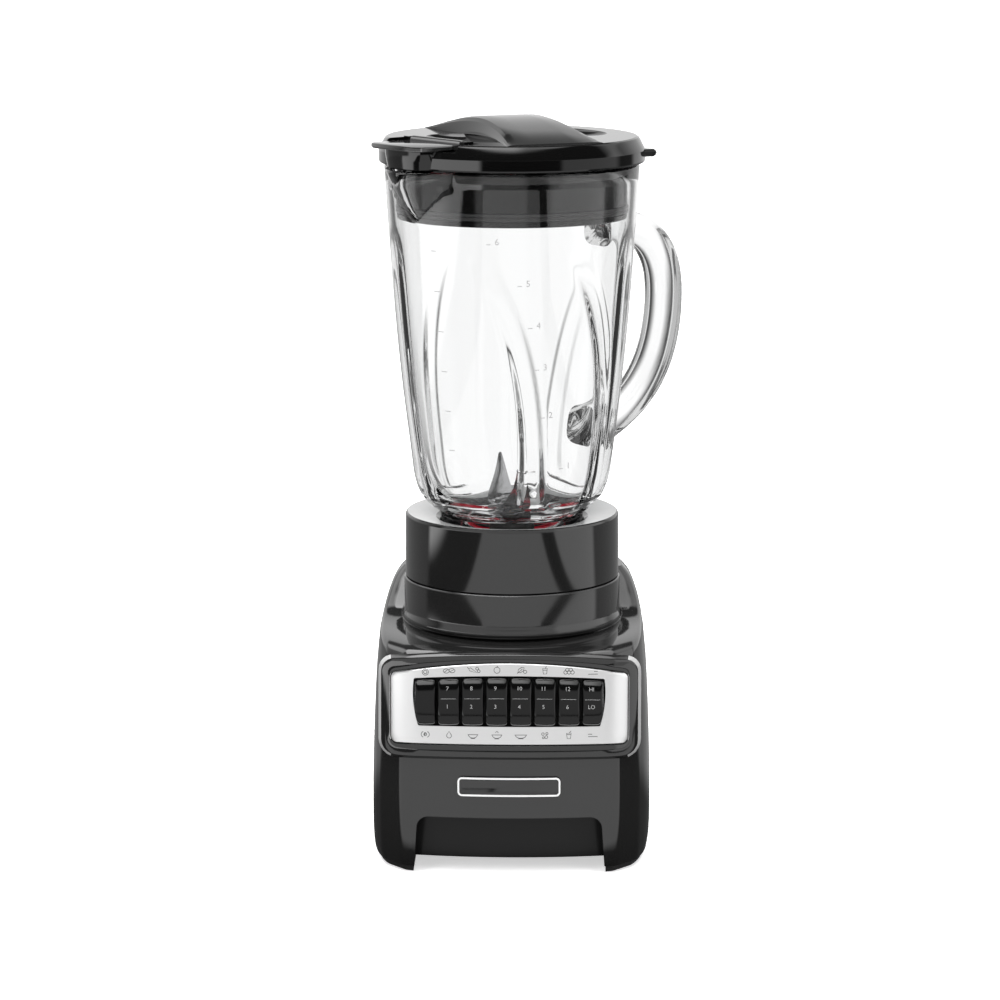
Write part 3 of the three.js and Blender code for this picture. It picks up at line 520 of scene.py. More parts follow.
def build_housing():
    shell = base_solid()
    build_turret(shell)
    wall = block((-RECESS_HALF_WIDTH - WALL, RECESS_HALF_WIDTH + WALL),
                 (-FAR, RECESS_BACK_Y + WALL), (SKIRT_Z, RECESS_TOP_Z + WALL))
    combine(wall, [base_solid()], "INTERSECT")
    join(shell, wall)
    below, side = -5, 90
    key_window = moved(block((-50.6, 50.6), (-20, 20), WINDOW_Z), panel_matrix())
    cord_hole = lying_rod(6, (-FAR, -60), (0, 24), 32)
    vents = [rounded_slot((-26, 26), (56 + 8 * i, 59.5 + 8 * i), (60, FAR), 1.7) for i in range(5)]
    cut(
        shell,
        recess_cutter(),
        block((-side, side), (-LEG_Y, LEG_Y), (below, SKIRT_Z)),
        block((-LEG_X + 0.6, LEG_X - 0.6), (-FAR, FAR), (below, SKIRT_Z)),
        block((-side, side), (-FAR, FAR), (below, FOOT_THICK + 0.3)),
        key_window,
        cord_hole,
        *vents,
    )
    # The inside faces of the front recess take the darker copy of the plastic as painted shade.
    outer_skin_y = -73.5
    for polygon in shell.data.polygons:
        x, y, z = polygon.center
        in_width = abs(x) < RECESS_HALF_WIDTH + 3 and y < RECESS_BACK_Y + 1.5
        near = in_width and 4.5 < z < RECESS_TOP_Z + 0.5
        faces_in = y > outer_skin_y or abs(polygon.normal.y) < 0.5
        polygon.material_index = 1 if near and faces_in else 0
    finish_piece(shell, "housing_shell", "base", CHARCOAL, ["housing"],
                 extra=[RECESS_PAINTED_SHADE])


def build_feet():
    _, half_width, front, rear, _ = BASE_LEVELS[0]
    gap = 0.4
    for end, sy in (("front", -1), ("rear", 1)):
        for side, sx in (("left", -1), ("right", 1)):
            shoe = loft([base_plan(half_width - inset, front - inset, rear - inset, z, 0)
                         for inset, z in ((2.4, 0), (1.3, 0.9), (1.2, FOOT_THICK))])
            x = sorted((sx * (LEG_X + gap), sx * FAR))
            y = sorted((sy * (LEG_Y + gap), sy * FAR))
            combine(shoe, [block(x, y, (-1, 8))], "INTERSECT")
            name = f"{end}_{side}"
            finish_piece(shoe, f"foot_pad_{name}", "base", RUBBER, [f"foot_{name}"])


# ------------------------------------------------------------------ control panel


def bow(x):
    """How far the face falls back from its middle: a wide bow, tighter towards the corners."""
    return x * x / BOW + max(0, abs(x) - 50) ** 2 / 44


def arched_outline(half, z, arch, r, along=28, corner=6):
    """A rounded outline with an arched top, its points spread alike whatever its size."""
    inner, low = half - r, z[0] + r

    def top(x):
        return z[1] - arch * (x / half) ** 2

    def spaced(a, b, count):
        return [a + (b - a) * i / count for i in range(count)]

    def quarter(x, height, start):
        turns = [math.radians(start + 90 * i / corner) for i in range(corner)]
        return [(x + r * math.cos(a), height + r * math.sin(a)) for a in turns]

    high = top(inner) - r
    return [
        *[(x, z[0]) for x in spaced(-inner, inner, along)], *quarter(inner, low, -90),
        *[(half, h) for h in spaced(low, high, along // 2)], *quarter(inner, high, 0),
        *[(x, top(x)) for x in spaced(inner, -inner, along)], *quarter(-inner, high, 90),
        *[(-half, h) for h in spaced(high, low, along // 2)], *quarter(-inner, low, 180),
    ]


def panel_ring(outline, depth):
    return [(x, depth + bow(x), z) for x, z in outline]


def between(a, b, t):
    return [tuple(p + (q - p) * t for p, q in zip(u, v)) for u, v in zip(a, b)]


def grown_outline(half, z, arch, r, grow):
    """An arched outline moved outwards by grow."""
    return arched_outline(half + grow, (z[0] - grow, z[1] + grow), arch, r + grow)


def bezel_outline(inset):
    return grown_outline(BEZEL_HALF_WIDTH, BEZEL_Z, BEZEL_ARCH, 9, -inset)


def plate_outline(gap):
    return grown_outline(PLATE_HALF_WIDTH, PLATE_Z, PLATE_ARCH, 3, gap)


def end_bow(z):
    """How far the outer sides of the end keys, and the window beside them, draw in at a height."""
    return 2.6 * ((z - 37) / 17) ** 2


def window_outline(gap=0.0):
    half, z = WINDOW_HALF + gap, (WINDOW_Z[0] - gap, WINDOW_Z[1] + gap)
    bowed_from = 40
    outline = []
    for px, pz in arched_outline(half, z, KEY_ARCH, 0.8):
        share = max(0, (abs(px) - bowed_from) / (WINDOW_HALF - bowed_from))
        outline.append((px - math.copysign(end_bow(pz) * share, px), pz))
    return outline


def build_bezel():
    top, back = -BEZEL_PROUD, 2.2
    pocket = top + 1.1
    outside, crest, lip = bezel_outline(0), bezel_outline(3.0), plate_outline(1.6)
    step, window = plate_outline(0.4), window_outline()
    rings = [(outside, back), (outside, top + 3.0)]
    rings += [(bezel_outline(inset), top + fall)
              for inset, fall in ((0.15, 2.7), (1.3, 0.55), (1.6, 0.22), (2.0, 0.05))]
    rings += [(crest, top), (between(crest, lip, 0.5), top), (lip, top)]
    rings += [(plate_outline(0.8), top + 0.2), (plate_outline(0.45), top + 0.7), (step, pocket)]
    rings += [(between(step, window, t), pocket) for t in (0.25, 0.5, 0.75, 1.0)]
    rings += [(window, back)]
    rings += [(between(window, outside, t), back) for t in (0.33, 0.66)]
    surround = loft([panel_ring(o, d) for o, d in rings], loop=True)
    # The slanted side flanks beside the plate take the light grey as a painted highlight.
    for polygon in surround.data.polygons:
        beside = abs(polygon.center.x) > PLATE_HALF_WIDTH
        slanted = abs(polygon.normal.x) > 0.2 and polygon.normal.y < -0.05
        depth = polygon.center.y - bow(polygon.center.x)
        painted_highlight_flank = beside and slanted and top + 0.3 < depth < top + 4.6
        polygon.material_index = 1 if painted_highlight_flank else 0
    finish_piece(moved(surround, panel_matrix()), "panel_bezel", "base", COLLAR,
                 ["control_bezel"], smooth=26, extra=[BEZEL_PAINTED_HIGHLIGHT])


# Small outline pictures on the faceplate: strokes of (x, z) points about each picture's middle.
def circle(r, at=(0, 0), squash=1.0, span=(0, 360), steps=20):
    points = []
    for i in range(steps + 1):
        a = math.radians(span[0] + (span[1] - span[0]) * i / steps)
        points.append((at[0] + r * math.cos(a), at[1] + r * squash * math.sin(a)))
    return points


def bowl(width, depth):
    foot = 0.3 - width * depth - 0.2
    return [circle(width, (0, 0.4), depth, (180, 360)), [(-width - 0.5, 0.4), (width + 0.5, 0.4)],
            [(-width / 2, foot), (width / 2, foot)]]


LEAF = [(-2.0, -1.6), (-1.6, 0.6), (0.4, 1.9), (2.0, 1.8), (1.6, -0.2), (-0.2, -1.4), (-2.0, -1.6)]
CARROT = [(-2.6, 1.0), (-1.6, 1.7), (2.8, -1.6), (-2.2, -0.2), (-2.6, 1.0)]
CUP = [(-1.5, 1.4), (-1.0, -2.0), (1.0, -2.0), (1.5, 1.4), (-1.5, 1.4)]
DROP = [(0, 2.3), (-1.4, 0.1), (-1.5, -1.0), (-0.7, -1.9), (0.7, -1.9), (1.5, -1.0), (1.4, 0.1),
        (0, 2.3)]
UPPER_ICONS = [
    [circle(2.0), circle(1.1)],
    [circle(1.9, (-1.8, 0), 0.7), circle(1.9, (1.8, 0.3), 0.7), [(-3, -0.6), (-0.8, 0.8)],
     [(0.6, -0.4), (2.9, 0.9)]],
    [CARROT, [(-2.6, 1.0), (-3.6, 2.0)], circle(0.9, (2.6, 1.2)), circle(0.9, (3.6, -0.4))],
    [circle(1.9), [(-0.2, 1.9), (0.6, 2.7)]],
    [LEAF, [(-2.4, -2.0), (1.0, 1.0)], circle(1.0, (2.6, -0.9))],
    [CUP, [(-1.3, 0.4), (1.3, 0.4)], [(0.2, 1.4), (0.8, 2.8)]],
    [circle(1.1, at) for at in ((-2.2, -0.5), (0, -0.5), (2.2, -0.5), (-1.1, 1.1), (1.1, 1.1))],
    [[(-3, -0.9), (3, -0.9)], [(0.6, 0.9), (3, 0.9)]],
]
LOWER_ICONS = [
    [circle(2.6, (0, 0), 0.8, (120, 240)), circle(2.6, (0, 0), 0.8, (-60, 60)), circle(0.9)],
    [DROP],
    bowl(2.8, 0.75),
    [*bowl(2.9, 0.75), circle(0.8, (0, 1.7), 1, (0, 180))],
    bowl(3.4, 0.6),
    [circle(r, at) for r, at in
     ((0.8, (-1.2, 1.0)), (0.9, (0.9, -0.9)), (0.7, (1.3, 1.3)), (0.6, (-0.9, -1.3)))],
    [CUP, [(-1.4, 0.6), (1.4, 0.6)], [(0.2, 1.4), (1.4, 2.9)]],
    [[(-3, -0.9), (3, -0.9)], [(-3, 0.6), (-0.4, 0.6)]],
]


def stroke(points, width, place, thick=0.1):
    """A thin raised line through (x, z) points; place(x, z, out) gives where a point stands."""
    closed = math.dist(points[0], points[-1]) < 1e-6
    line = [Vector(p) for p in (points[:-1] if closed else points)]
    n = len(line)
    rings = []
    for i, p in enumerate(line):
        before = line[i - 1] if closed or i else line[0]
        after = line[(i + 1) % n] if closed or i < n - 1 else line[-1]
        d = (after - before).normalized()
        side = Vector((-d.y, d.x)) * width / 2
        a, b = p + side, p - side
        rings.append([place(*a, 0), place(*b, 0), place(*b, thick), place(*a, thick)])
    return loft(rings, loop=closed)


def on_plate(x, z, out):
    return (x, PLATE_DEPTH[0] - 0.02 - out + bow(x), z)


def merged(objects):
    """Makes one object of several, each of its shells kept as it is."""
    first = objects[0]
    for other in objects[1:]:
        add_shell(first, other)
    return first


def text_mesh(text, height, place, at=(0, 0), thick=0.1):
    """Flat generic lettering as thin closed solids, centred at (x, z)."""
    curve = bpy.data.curves.new("text", "FONT")
    curve.body, curve.align_x, curve.align_y = text, "CENTER", "CENTER"
    curve.size = height * 1.38  # a figure is shorter than its type size
    curve.extrude, curve.resolution_u = 0.5, 3
    holder = linked("text", curve)
    mesh = baked(holder)
    bpy.data.objects.remove(holder)
    for v in mesh.vertices:
        x, z, out = v.co.x, v.co.y, v.co.z + curve.extrude
        v.co = place(at[0] + x, at[1] + z, out * thick)
    return linked("text", tidied(mesh, weld=0.002))


def build_faceplate():
    front, back = PLATE_DEPTH
    outer, edge, inner = plate_outline(0), plate_outline(-0.25), window_outline(0.1)
    rings = [(outer, back), (outer, front + 0.2), (edge, front)]
    rings += [(between(edge, inner, t), front) for t in (0.25, 0.5, 0.75, 1.0)]
    rings += [(inner, back)] + [(between(inner, outer, t), back) for t in (0.25, 0.5, 0.75)]
    plate = loft([panel_ring(o, d) for o, d in rings], loop=True)
    lines = []
    for i in range(len(KEYS)):
        x = key_x(i)
        upper_z = UPPER_ICON_Z - 2.0 * (x / 50) ** 2
        for picture, z in ((UPPER_ICONS[i], upper_z), (LOWER_ICONS[i], LOWER_ICON_Z)):
            for line in picture:
                points = [(x + px * ICON_SIZE, z + pz * ICON_SIZE) for px, pz in line]
                lines.append(stroke(points, ICON_LINE, on_plate))
    lines.append(text_mesh("P", 1.9, on_plate, (key_x(0), LOWER_ICON_Z)))
    add_shell(plate, merged(lines), 1)
    finish_piece(moved(plate, panel_matrix()), "panel_faceplate", "base", PLATE,
                 ["faceplate"], extra=[INK])


def key_x(i):
    return (i - (len(KEYS) - 1) / 2) * KEY_PITCH


# A key from the side, (depth, height): its raked face, its foot and its back.
KEY_SIDE = [
    (-7.0, KEY_Z[1]), (-9.2, KEY_Z[0] + 4.4), (-7.4, KEY_Z[0]), (KEY_BACK, KEY_Z[0]),
    (KEY_BACK, KEY_Z[1]),
]
# Half width and inset of a key's cross-sections, from its middle part to its rounded side.
KEY_ROUNDING = [
    (KEY_WIDTH / 2, 1.5), (KEY_WIDTH / 2 - 0.15, 0.9), (KEY_WIDTH / 2 - 0.55, 0.4),
    (KEY_WIDTH / 2 - 1.1, 0.12), (KEY_WIDTH / 2 - 1.8, 0.0),
]


def key_front(z):
    """Depth of a key's raked face at a height."""
    (y0, z0), (y1, z1) = KEY_SIDE[1], KEY_SIDE[0]
    return y0 + (y1 - y0) * (z - z0) / (z1 - z0)


def build_key(i, name, upper, lower):
    """A push key with its stem: its top follows the arch, and an end key's side is bowed."""
    x, at = key_x(i), bow(key_x(i))
    middle_y, middle_z = (KEY_BACK - 8) / 2, sum(KEY_Z) / 2
    side = chaikin(KEY_SIDE, 3, closed=True)
    crowned = (0, -0.12)
    sections = [(-dx, inset) for dx, inset in KEY_ROUNDING] + [crowned] + KEY_ROUNDING[::-1]
    rings = []
    for dx, inset in sections:
        outer = dx > 0 and i == len(KEYS) - 1 or dx < 0 and i == 0
        arch = KEY_ARCH * ((x + dx) / WINDOW_HALF) ** 2
        ring = []
        for y, z in side:
            to = Vector((y - middle_y, z - middle_z))
            to -= to.normalized() * inset
            z = middle_z + to.y
            z -= arch * max(0, to.y / (KEY_Z[1] - middle_z))
            drawn = math.copysign(end_bow(z) - 0.5, dx) * abs(dx) / (KEY_WIDTH / 2) if outer else 0
            ring.append((x + dx - drawn, middle_y + to.x + at, z))
        rings.append(ring)
    cap = loft(rings)
    stem = block((x - 2, x + 2), (at, 19), (29, 37))
    join(cap, stem)

    def on_face(px, pz, out):
        return (px, key_front(pz) + at - 0.1 - out, pz)

    if upper:
        drop = KEY_ARCH * 0.6 * (x / WINDOW_HALF) ** 2
        divider_z = DIVIDER_Z - drop
        marks = [
            text_mesh(upper, LEGEND_HEIGHT, on_face, (x - 0.7, UPPER_LEGEND_Z - drop)),
            text_mesh(lower, LEGEND_HEIGHT, on_face, (x - 0.7, LOWER_LEGEND_Z - drop / 2)),
            stroke([(x - 4.2, divider_z), (x + 3.8, divider_z)], 0.16, on_face),
        ]
        add_shell(cap, merged(marks), 1)
    finish_piece(moved(cap, panel_matrix()), f"{name}_cap", name, KEY_BLACK, [name],
                 extra=[LEGEND])


def build_badge():
    def ring(inset, depth):
        outline = arched_outline(BADGE_HALF_WIDTH - inset, (inset, BADGE_HEIGHT - inset), 0,
                                 max(0.6, 2.4 - inset), 24, 5)
        return panel_ring(outline, depth)

    plate = loft([ring(0, 0.4), ring(0, -0.5), ring(0.3, -0.75), ring(0.9, -0.75), ring(1.3, -0.5)])
    line = loft([ring(0.1, -0.7), ring(0.1, -1.0), ring(1.0, -1.0), ring(1.0, -0.6)], loop=True)
    add_shell(plate, line, 1)
    finish_piece(moved(plate, Matrix.Translation(BADGE_FOOT)), "badge_plate", "base", CHARCOAL,
                 ["badge"], extra=[BADGE_LINE])


# ------------------------------------------------------------------ jar base and blades


def build_collar():
    inside = [(30, 153.7), (46, 153.7), (46, 133), (49.8, 133), (49.8, 156.7), (41.4, 156.7),
              (41.4, 174.4), (53.7, 176.0), (53.7, SEAM_Z + 0.5)]
    wall = [(COLLAR_R + out, SEAM_Z + up) for out, up in ((-0.3, 0.5), (0.1, 0.9), (0.1, 1.4))]
    wall += [(COLLAR_R + out, COLLAR_TOP_Z - down)
             for out, down in ((-0.1, 1.8), (-0.1, 1.4), (-0.5, 0.4), (-1.2, 0))]
    dish = [(r, COLLAR_TOP_Z - down) for r, down in
            ((54.6, 0.1), (48, 1.3), (41.8, 2.5), (40.6, 3.0), (38.5, 4.8))]
    ring = turned([*inside, *wall, *dish, (38.5, 156.7), (30, 156.7)], 160)
    # The top dish takes the pale grey: a painted reflection on the same black plastic.
    for polygon in ring.data.polygons:
        x, y, z = polygon.center
        painted_reflection_on_dish = z > COLLAR_TOP_Z - 3.2 and math.hypot(x, y) < 55.4
        polygon.material_index = 1 if painted_reflection_on_dish else 0
    finish_piece(ring, "collar_ring", "jar_base", COLLAR, ["jar_collar"],
                 extra=[COLLAR_PAINTED_REFLECTION])


def build_hub():
    profile = [(6.2, 148), (11, 148), (12.5, 157), (37.4, 157), (37.4, 159.4), (18, 159.8),
               (15, 160.2), (13.2, 163), (12, 168), (10.6, 173.6), (9.5, 175.5), (6.2, 176)]
    finish_piece(turned(profile, 96), "hub_flange", "jar_base", BLACK_MATTE, ["blade_hub"])
    seal = [(29.5, 160.4), (30.2, 160.1), (36.6, 160.1), (37.2, 160.5), (37.2, 161.9),
            (36.6, 162.4), (30.2, 162.4), (29.5, 162.0)]
    finish_piece(turned(seal, 128), "gasket_ring", "jar_base", RED_SEAL, ["jar_gasket"])


def blade_bar(stations, turn):
    """A forged bar with ground edges along both sides, bent up to its tips.

    Its stations give distance from the axis, half width and height of one arm.
    """
    both_arms = [(-x, w, z) for x, w, z in reversed(stations)] + list(stations)
    rings = []
    for x, w, z in chaikin(both_arms, 2):
        edge = min(2.2, w * 0.45)
        rings.append([(x, -w, z + 0.5), (x, -w + edge, z), (x, w - edge, z), (x, w, z + 0.5),
                      (x, w - edge, z + 1.5), (x, -w + edge, z + 1.5)])
    return moved(loft(rings), Matrix.Rotation(math.radians(turn), 4, "Z"))


def build_blades():
    lower = [(9, 6.5, 176.6), (19, 5.8, 176.0), (27, 1.2, 182)]
    upper = [(9, 6.5, 178.6), (17, 5.6, 187), (26.5, 1.0, 205)]
    for name, stations, turn in (("lower", lower, 25), ("upper", upper, 105)):
        finish_piece(blade_bar(stations, turn), f"blade_{name}_bar", "blades", STEEL,
                     [f"blade_{name}"], smooth=20)
    nut = loft([round_ring(r, z, 6)
                for r, z in ((5.7, 180.5), (6, 180.9), (6, 184.7), (5.2, 185.6))])
    join(nut, rod(3, (180.6, 187), sides=32))
    finish_piece(nut, "blade_cap_nut", "blades", STEEL, ["blade_nut"], bevel=0.2)


def build_driven_cup():
    """Driven coupling: a ribbed cup with a hexagonal socket."""
    flutes, depth = 12, 0.35

    def fluted(r, z, a):
        return (r + (depth * max(0, math.cos(flutes * a)) if 11 < r < 12.2 else 0), z)

    outside = turned([(0.01, 130.4), (11.2, 130.4), (12.0, 131), (12.0, 142.4), (11.4, 143),
                      (8, 143.4), (8, 146.6), (0.01, 146.6)], 144, fluted)
    socket = loft([round_ring(9.1, z, 6) for z in (120, 141.6)])
    shaft_hole = rod(3.2, (139, 150), sides=24)
    cut(outside, socket, shaft_hole)
    finish_piece(outside, "driven_cup", "blades", RUBBER, ["driven_coupling"])


# ------------------------------------------------------------------ jar, in its own frame


def smooth(t):
    t = min(1, max(0, t))
    return t * t * (3 - 2 * t)


def spouted(r, z, a):
    """Draws the wall outwards in a V that starts at a point and opens to the rim."""
    off = math.hypot(math.pi - abs(math.remainder(a, 2 * math.pi)), 0.05) - 0.05
    rise = (z - SPOUT_START_Z) / (RIM_Z - SPOUT_START_Z) - off / SPOUT_SPREAD
    if rise <= 0:
        return r, z
    return r + SPOUT_REACH * min(1, rise) ** 0.9 * smooth(rise * 6), z


# Angles are in the world's frame, where the front is -90 degrees.
SWIRLED_RIBS = [math.radians(a) for a in (-76, -26, 64, 154)]
BROAD_RIBS = [math.radians(a) for a in (-163, -17)]
RIB_Z, RIB_HEIGHT, BROAD_HALF_ANGLE = (184, 336), 2.6, 0.2
LOBE_HEIGHT, LOBE_Z, LOBE_REACH, LOBE_TURN = 1.3, 190, 16, math.radians(10)


def ribbed(z, a):
    """Height of the swirled and the broad ribs that stand inwards from the wall."""
    if not RIB_Z[0] < z < RIB_Z[1]:
        return 0.0
    t = (z - RIB_Z[0]) / (RIB_Z[1] - RIB_Z[0])
    lean = -0.62 * t * t * t - 0.06 * t
    swirled = RIB_HEIGHT * smooth((1 - t) * 2.2) * smooth(t * 9)
    broad = RIB_HEIGHT * smooth((1 - t) * 4) * smooth(t * 9)
    half = 0.135 + 0.09 * (1 - t) ** 6
    total = 0.0
    for middle in BROAD_RIBS:
        off = abs(math.remainder(a - middle, 2 * math.pi))
        total += broad * (1 - smooth(off / BROAD_HALF_ANGLE))
    for middle in SWIRLED_RIBS:
        off = abs(math.remainder(a - middle - lean, 2 * math.pi))
        total += swirled * (1 - smooth((off / half - 0.35) / 0.65))
    return total


def lobe_share(z):
    return math.exp(-(((z - LOBE_Z) / LOBE_REACH) ** 2))


def lobed(z, a):
    """The bottom corners bulge in four soft lobes."""
    return LOBE_HEIGHT * lobe_share(z) * math.cos(4 * (a - LOBE_TURN))


def build_handle():
    """A strap with rounded sides that widens where it meets the wall."""
    path = chaikin(HANDLE_PATH, 3)
    last = len(path) - 1
    thick, wide = HANDLE_SIZE
    squareness, foot_share, foot_growth = 0.6, 0.16, 0.32
    section = []
    for c, s, _ in round_ring(1, 0, 32):
        section.append((thick / 2 * math.copysign(abs(c) ** squareness, c),
                        wide / 2 * math.copysign(abs(s) ** squareness, s)))
    rings = []
    for i, (r, z) in enumerate(path):
        a, b = path[max(0, i - 1)], path[min(last, i + 1)]
        along = Vector((b[0] - a[0], b[1] - a[1])).normalized()
        out = Vector((-along.y, along.x))
        from_end = min(i, last - i) / last
        grow = 1 + foot_growth * max(0, 1 - from_end / foot_share) ** 1.5
        rings.append([(r + out.x * u * grow, v * grow, z + out.y * u * grow) for u, v in section])
    return loft(rings)


def build_jar():
    floor_r, below_rim = 31, 363
    outer = chaikin([(JAR_LEVELS[0][1], 178), *[(r, z) for z, r, _ in JAR_LEVELS]], 3)
    inner = chaikin([(floor_r, 176), (33, 182), *[(r - w, z) for z, r, w in JAR_LEVELS[1:]]], 3)
    outer = [p for p in outer if p[1] < below_rim]
    inner = [p for p in inner if p[1] < below_rim]
    rim = [(67.1, 364.2), (66.6, 365.5), (65.4, RIM_Z), (64.2, 365.5), (63.5, 364.2)]
    body = [(31.4, NECK_Z), (NECK_R - 0.5, NECK_Z), (NECK_R, NECK_Z + 0.5), (NECK_R, 176), *outer,
            *rim, *reversed(inner)]
    inner_radii = {round(r, 6) for r, _ in inner}

    def shape(r, z, a):
        out_r, out_z = spouted(r, z, a)
        world = a + JAR_TURN
        if round(r, 6) in inner_radii:
            return out_r - ribbed(z, world) - 0.4 * lobed(z, world), out_z
        if 181 < z < 240:
            return out_r + lobed(z, world) - LOBE_HEIGHT * lobe_share(z), out_z
        return out_r, out_z

    wall = turned(body, 240, shape)
    over_rim = 372
    room = turned([(0.01, NECK_Z), (floor_r, NECK_Z), *[(r + 1.0, z) for r, z in inner],
                   (64, over_rim), (0.01, over_rim)], 96, spouted)
    join(wall, cut(build_handle(), room))
    jar = moved(wall, Matrix.Rotation(JAR_TURN, 4, "Z"))
    finish_piece(jar, "glass_jar", "jar", GLASS, ["jar"], smooth=50)


def jar_radius(z):
    for (z0, r0, _), (z1, r1, _) in zip(JAR_LEVELS, JAR_LEVELS[1:]):
        if z0 <= z <= z1:
            return r0 + (r1 - r0) * (z - z0) / (z1 - z0)
    return JAR_LEVELS[-1][1]


def build_scale():
    """Raised cup numbers and ticks on the jar, front right, and a smaller scale front left."""
    raised, line = 0.25, 0.35

    def on_wall(x, z, out):
        r = jar_radius(z) - 0.1 + out
        a = -math.pi / 2 + x / r
        return (r * math.cos(a), r * math.sin(a), z)

    marks = []
    for number, z, x in (("6", 331, -6.5), ("5", 309.5, 9.5), ("4", 287.5, 15), ("3", 265.5, 18.5),
                         ("2", 240, 21.5), ("1", 212, 32)):
        marks.append(text_mesh(number, 3.4, on_wall, (x, z), raised))
        marks.append(stroke([(x - 5.6, z - 1.2), (x - 3.2, z - 1.2)], line, on_wall, raised))
    for i in range(6):
        x, z = -44 + 2 * i, 325 - 21 * i
        marks.append(stroke([(x, z), (x + 3.5, z)], line, on_wall, raised))
    finish_piece(merged(marks), "cup_scale", "jar", GLASS_MARK)


# ------------------------------------------------------------------ lid, in the jar's frame


def spout_cover():
    """The lid's tongue over the jar's spout, narrower towards its underside."""
    middle = Vector((-62, 0))
    plan = chaikin([(-50, -19), (-50, 19), (-68, 19), (-76, 12), (-76, -12), (-68, -19)], 2,
                   closed=True)
    levels = ((0.9, LID_LOW_Z), (0.93, LID_LOW_Z + 0.5), (0.97, 371), (1.0, 374),
              (1.0, SPOUT_COVER_TOP_Z))
    return loft([[(*(middle + (Vector(p) - middle) * grow), z) for p in plan]
                 for grow, z in levels])


def rim_tab(degrees):
    """A small thumb tab on the lid's rim."""
    rings = []
    for up in (-2, -1, 0, 1, 2):
        z, tip = 371.5 + up, 76 - up**2 * 0.4
        rings.append([(66, -4.5, z), (tip, -1.2, z), (tip, 1.2, z), (66, 4.5, z)])
    return moved(loft(rings), Matrix.Rotation(math.radians(degrees), 4, "Z"))


def grip():
    """The arched strap across the lid, highest in its middle and wider at its ends."""
    crown = [(0, 1.0), (0.4, 1.0), (0.76, 0.99), (0.88, 0.92), (0.95, 0.74), (0.985, 0.45),
             (1, 0.0)]
    crown = [(-u, v) for u, v in reversed(crown[1:])] + crown
    stations, sunk = 40, 0.6
    rings = []
    for i in range(stations + 1):
        t = -1 + 2 * i / stations
        half, y = 20 + 7 * t * t, 60 * t
        rise = 9.6 * max(0, math.cos(t * math.pi / 2)) + 0.65
        ring = [(half * u, y, LID_TOP_Z - sunk + (rise + sunk) * v) for u, v in crown]
        low = LID_UNDER_Z + 1
        rings.append([(-half, y, low), *ring, (half, y, low)])
    return moved(loft(rings), Matrix.Rotation(math.radians(-GRIP_TURN), 4, "Z"))


def build_lid():
    profile = [(0.01, LID_UNDER_Z), (57.7, LID_UNDER_Z), (57.7, 338.4), (58.1, 338), (60.3, 338),
               (SKIRT_R, 338.4), (SKIRT_R, 340.6), (59.2, 340.6), (59.2, 345.4), (SKIRT_R, 345.4),
               (SKIRT_R, LID_LOW_Z), (69, LID_LOW_Z), (69.7, 366.9), (LID_R, 367.6), (LID_R, 373),
               (67.2, 378.5), (66.4, 379.5), (65.2, LID_TOP_Z), (0.01, LID_TOP_Z)]
    body = turned(profile, 192)
    join(body, spout_cover(), rim_tab(-45), rim_tab(45))
    finger_hollow = (19, 31, 6)
    cut(body, ball(finger_hollow, (-27, 0, 381.2)), ball(finger_hollow, (34, 0, 381.2)))
    join(body, grip())
    below, above, inner_x, side = 360, 400, -45.4, (-29, 29)
    flap_bed = block((-90, inner_x), side, (SPOUT_COVER_TOP_Z, above))
    hinge_groove = block((-53.5, inner_x), side, (374.6, above))
    pouring_hole = block((-72, -61.5), (-11, 11), (below, 380))
    channel = block((-66, -50), (-9, 9), (below, LID_UNDER_Z - 0.5))
    cut(body, flap_bed, hinge_groove, pouring_hole, channel)
    join(body, *[block((-52.5, -46.5), y, (373, 381)) for y in ((-24.8, -21), (21, 24.8))])
    cut(body, lying_rod(PIN_R + PIN_PLAY, (-24.9, 24.9), FLAP_HINGE, 24))
    finish_piece(moved(body, Matrix.Rotation(JAR_TURN, 4, "Z")), "lid_cover", "lid", LID_BLACK,
                 ["lid"], smooth=22)
    seal = [(59.5, 341.2), (60.2, 341), (61.1, 341.4), (61.3, 342.2), (60.7, 343), (61.3, 343.8),
            (61.1, 344.7), (60.2, 345), (59.5, 344.8)]
    finish_piece(turned(seal, 160), "lid_seal_ring", "lid", DARK_SEAL, ["lid_gasket"])


def build_flap():
    half = [(-54.5, -19), (-58.5, -21), (-77, -21), (-80, -16)]
    outline = half + [(x, -y) for x, y in reversed(half)]
    middle = Vector((-67, 0))
    rings = []
    for inset, z in ((0.5, 376.8), (0.0, 377.2), (0.0, 378.7), (0.4, 379.2), (1.0, 379.4)):
        ring = [Vector(p) - (Vector(p) - middle).normalized() * inset for p in outline]
        rings.append([(*p, z) for p in ring])
    plate = loft(rings)
    width = (-20.4, 20.4)
    knuckle = lying_rod(3, width, FLAP_HINGE, 32)
    join(plate, knuckle, block((-55.5, FLAP_HINGE[0]), width, (376.8, 379.2)))
    cut(plate, lying_rod(PIN_R + PIN_PLAY, (-21, 21), FLAP_HINGE, 24))
    finish_piece(moved(plate, Matrix.Rotation(JAR_TURN, 4, "Z")), "flap_plate", "spout_flap",
                 FLAP_TOP, ["spout_flap"])


# ------------------------------------------------------------------ build everything

build_housing()
build_feet()
build_bezel()
build_faceplate()
for index, key in enumerate(KEYS):
    build_key(index, *key)
build_badge()
build_collar()
build_hub()
build_blades()
build_driven_cup()
build_jar()
build_scale()
build_lid()
build_flap()

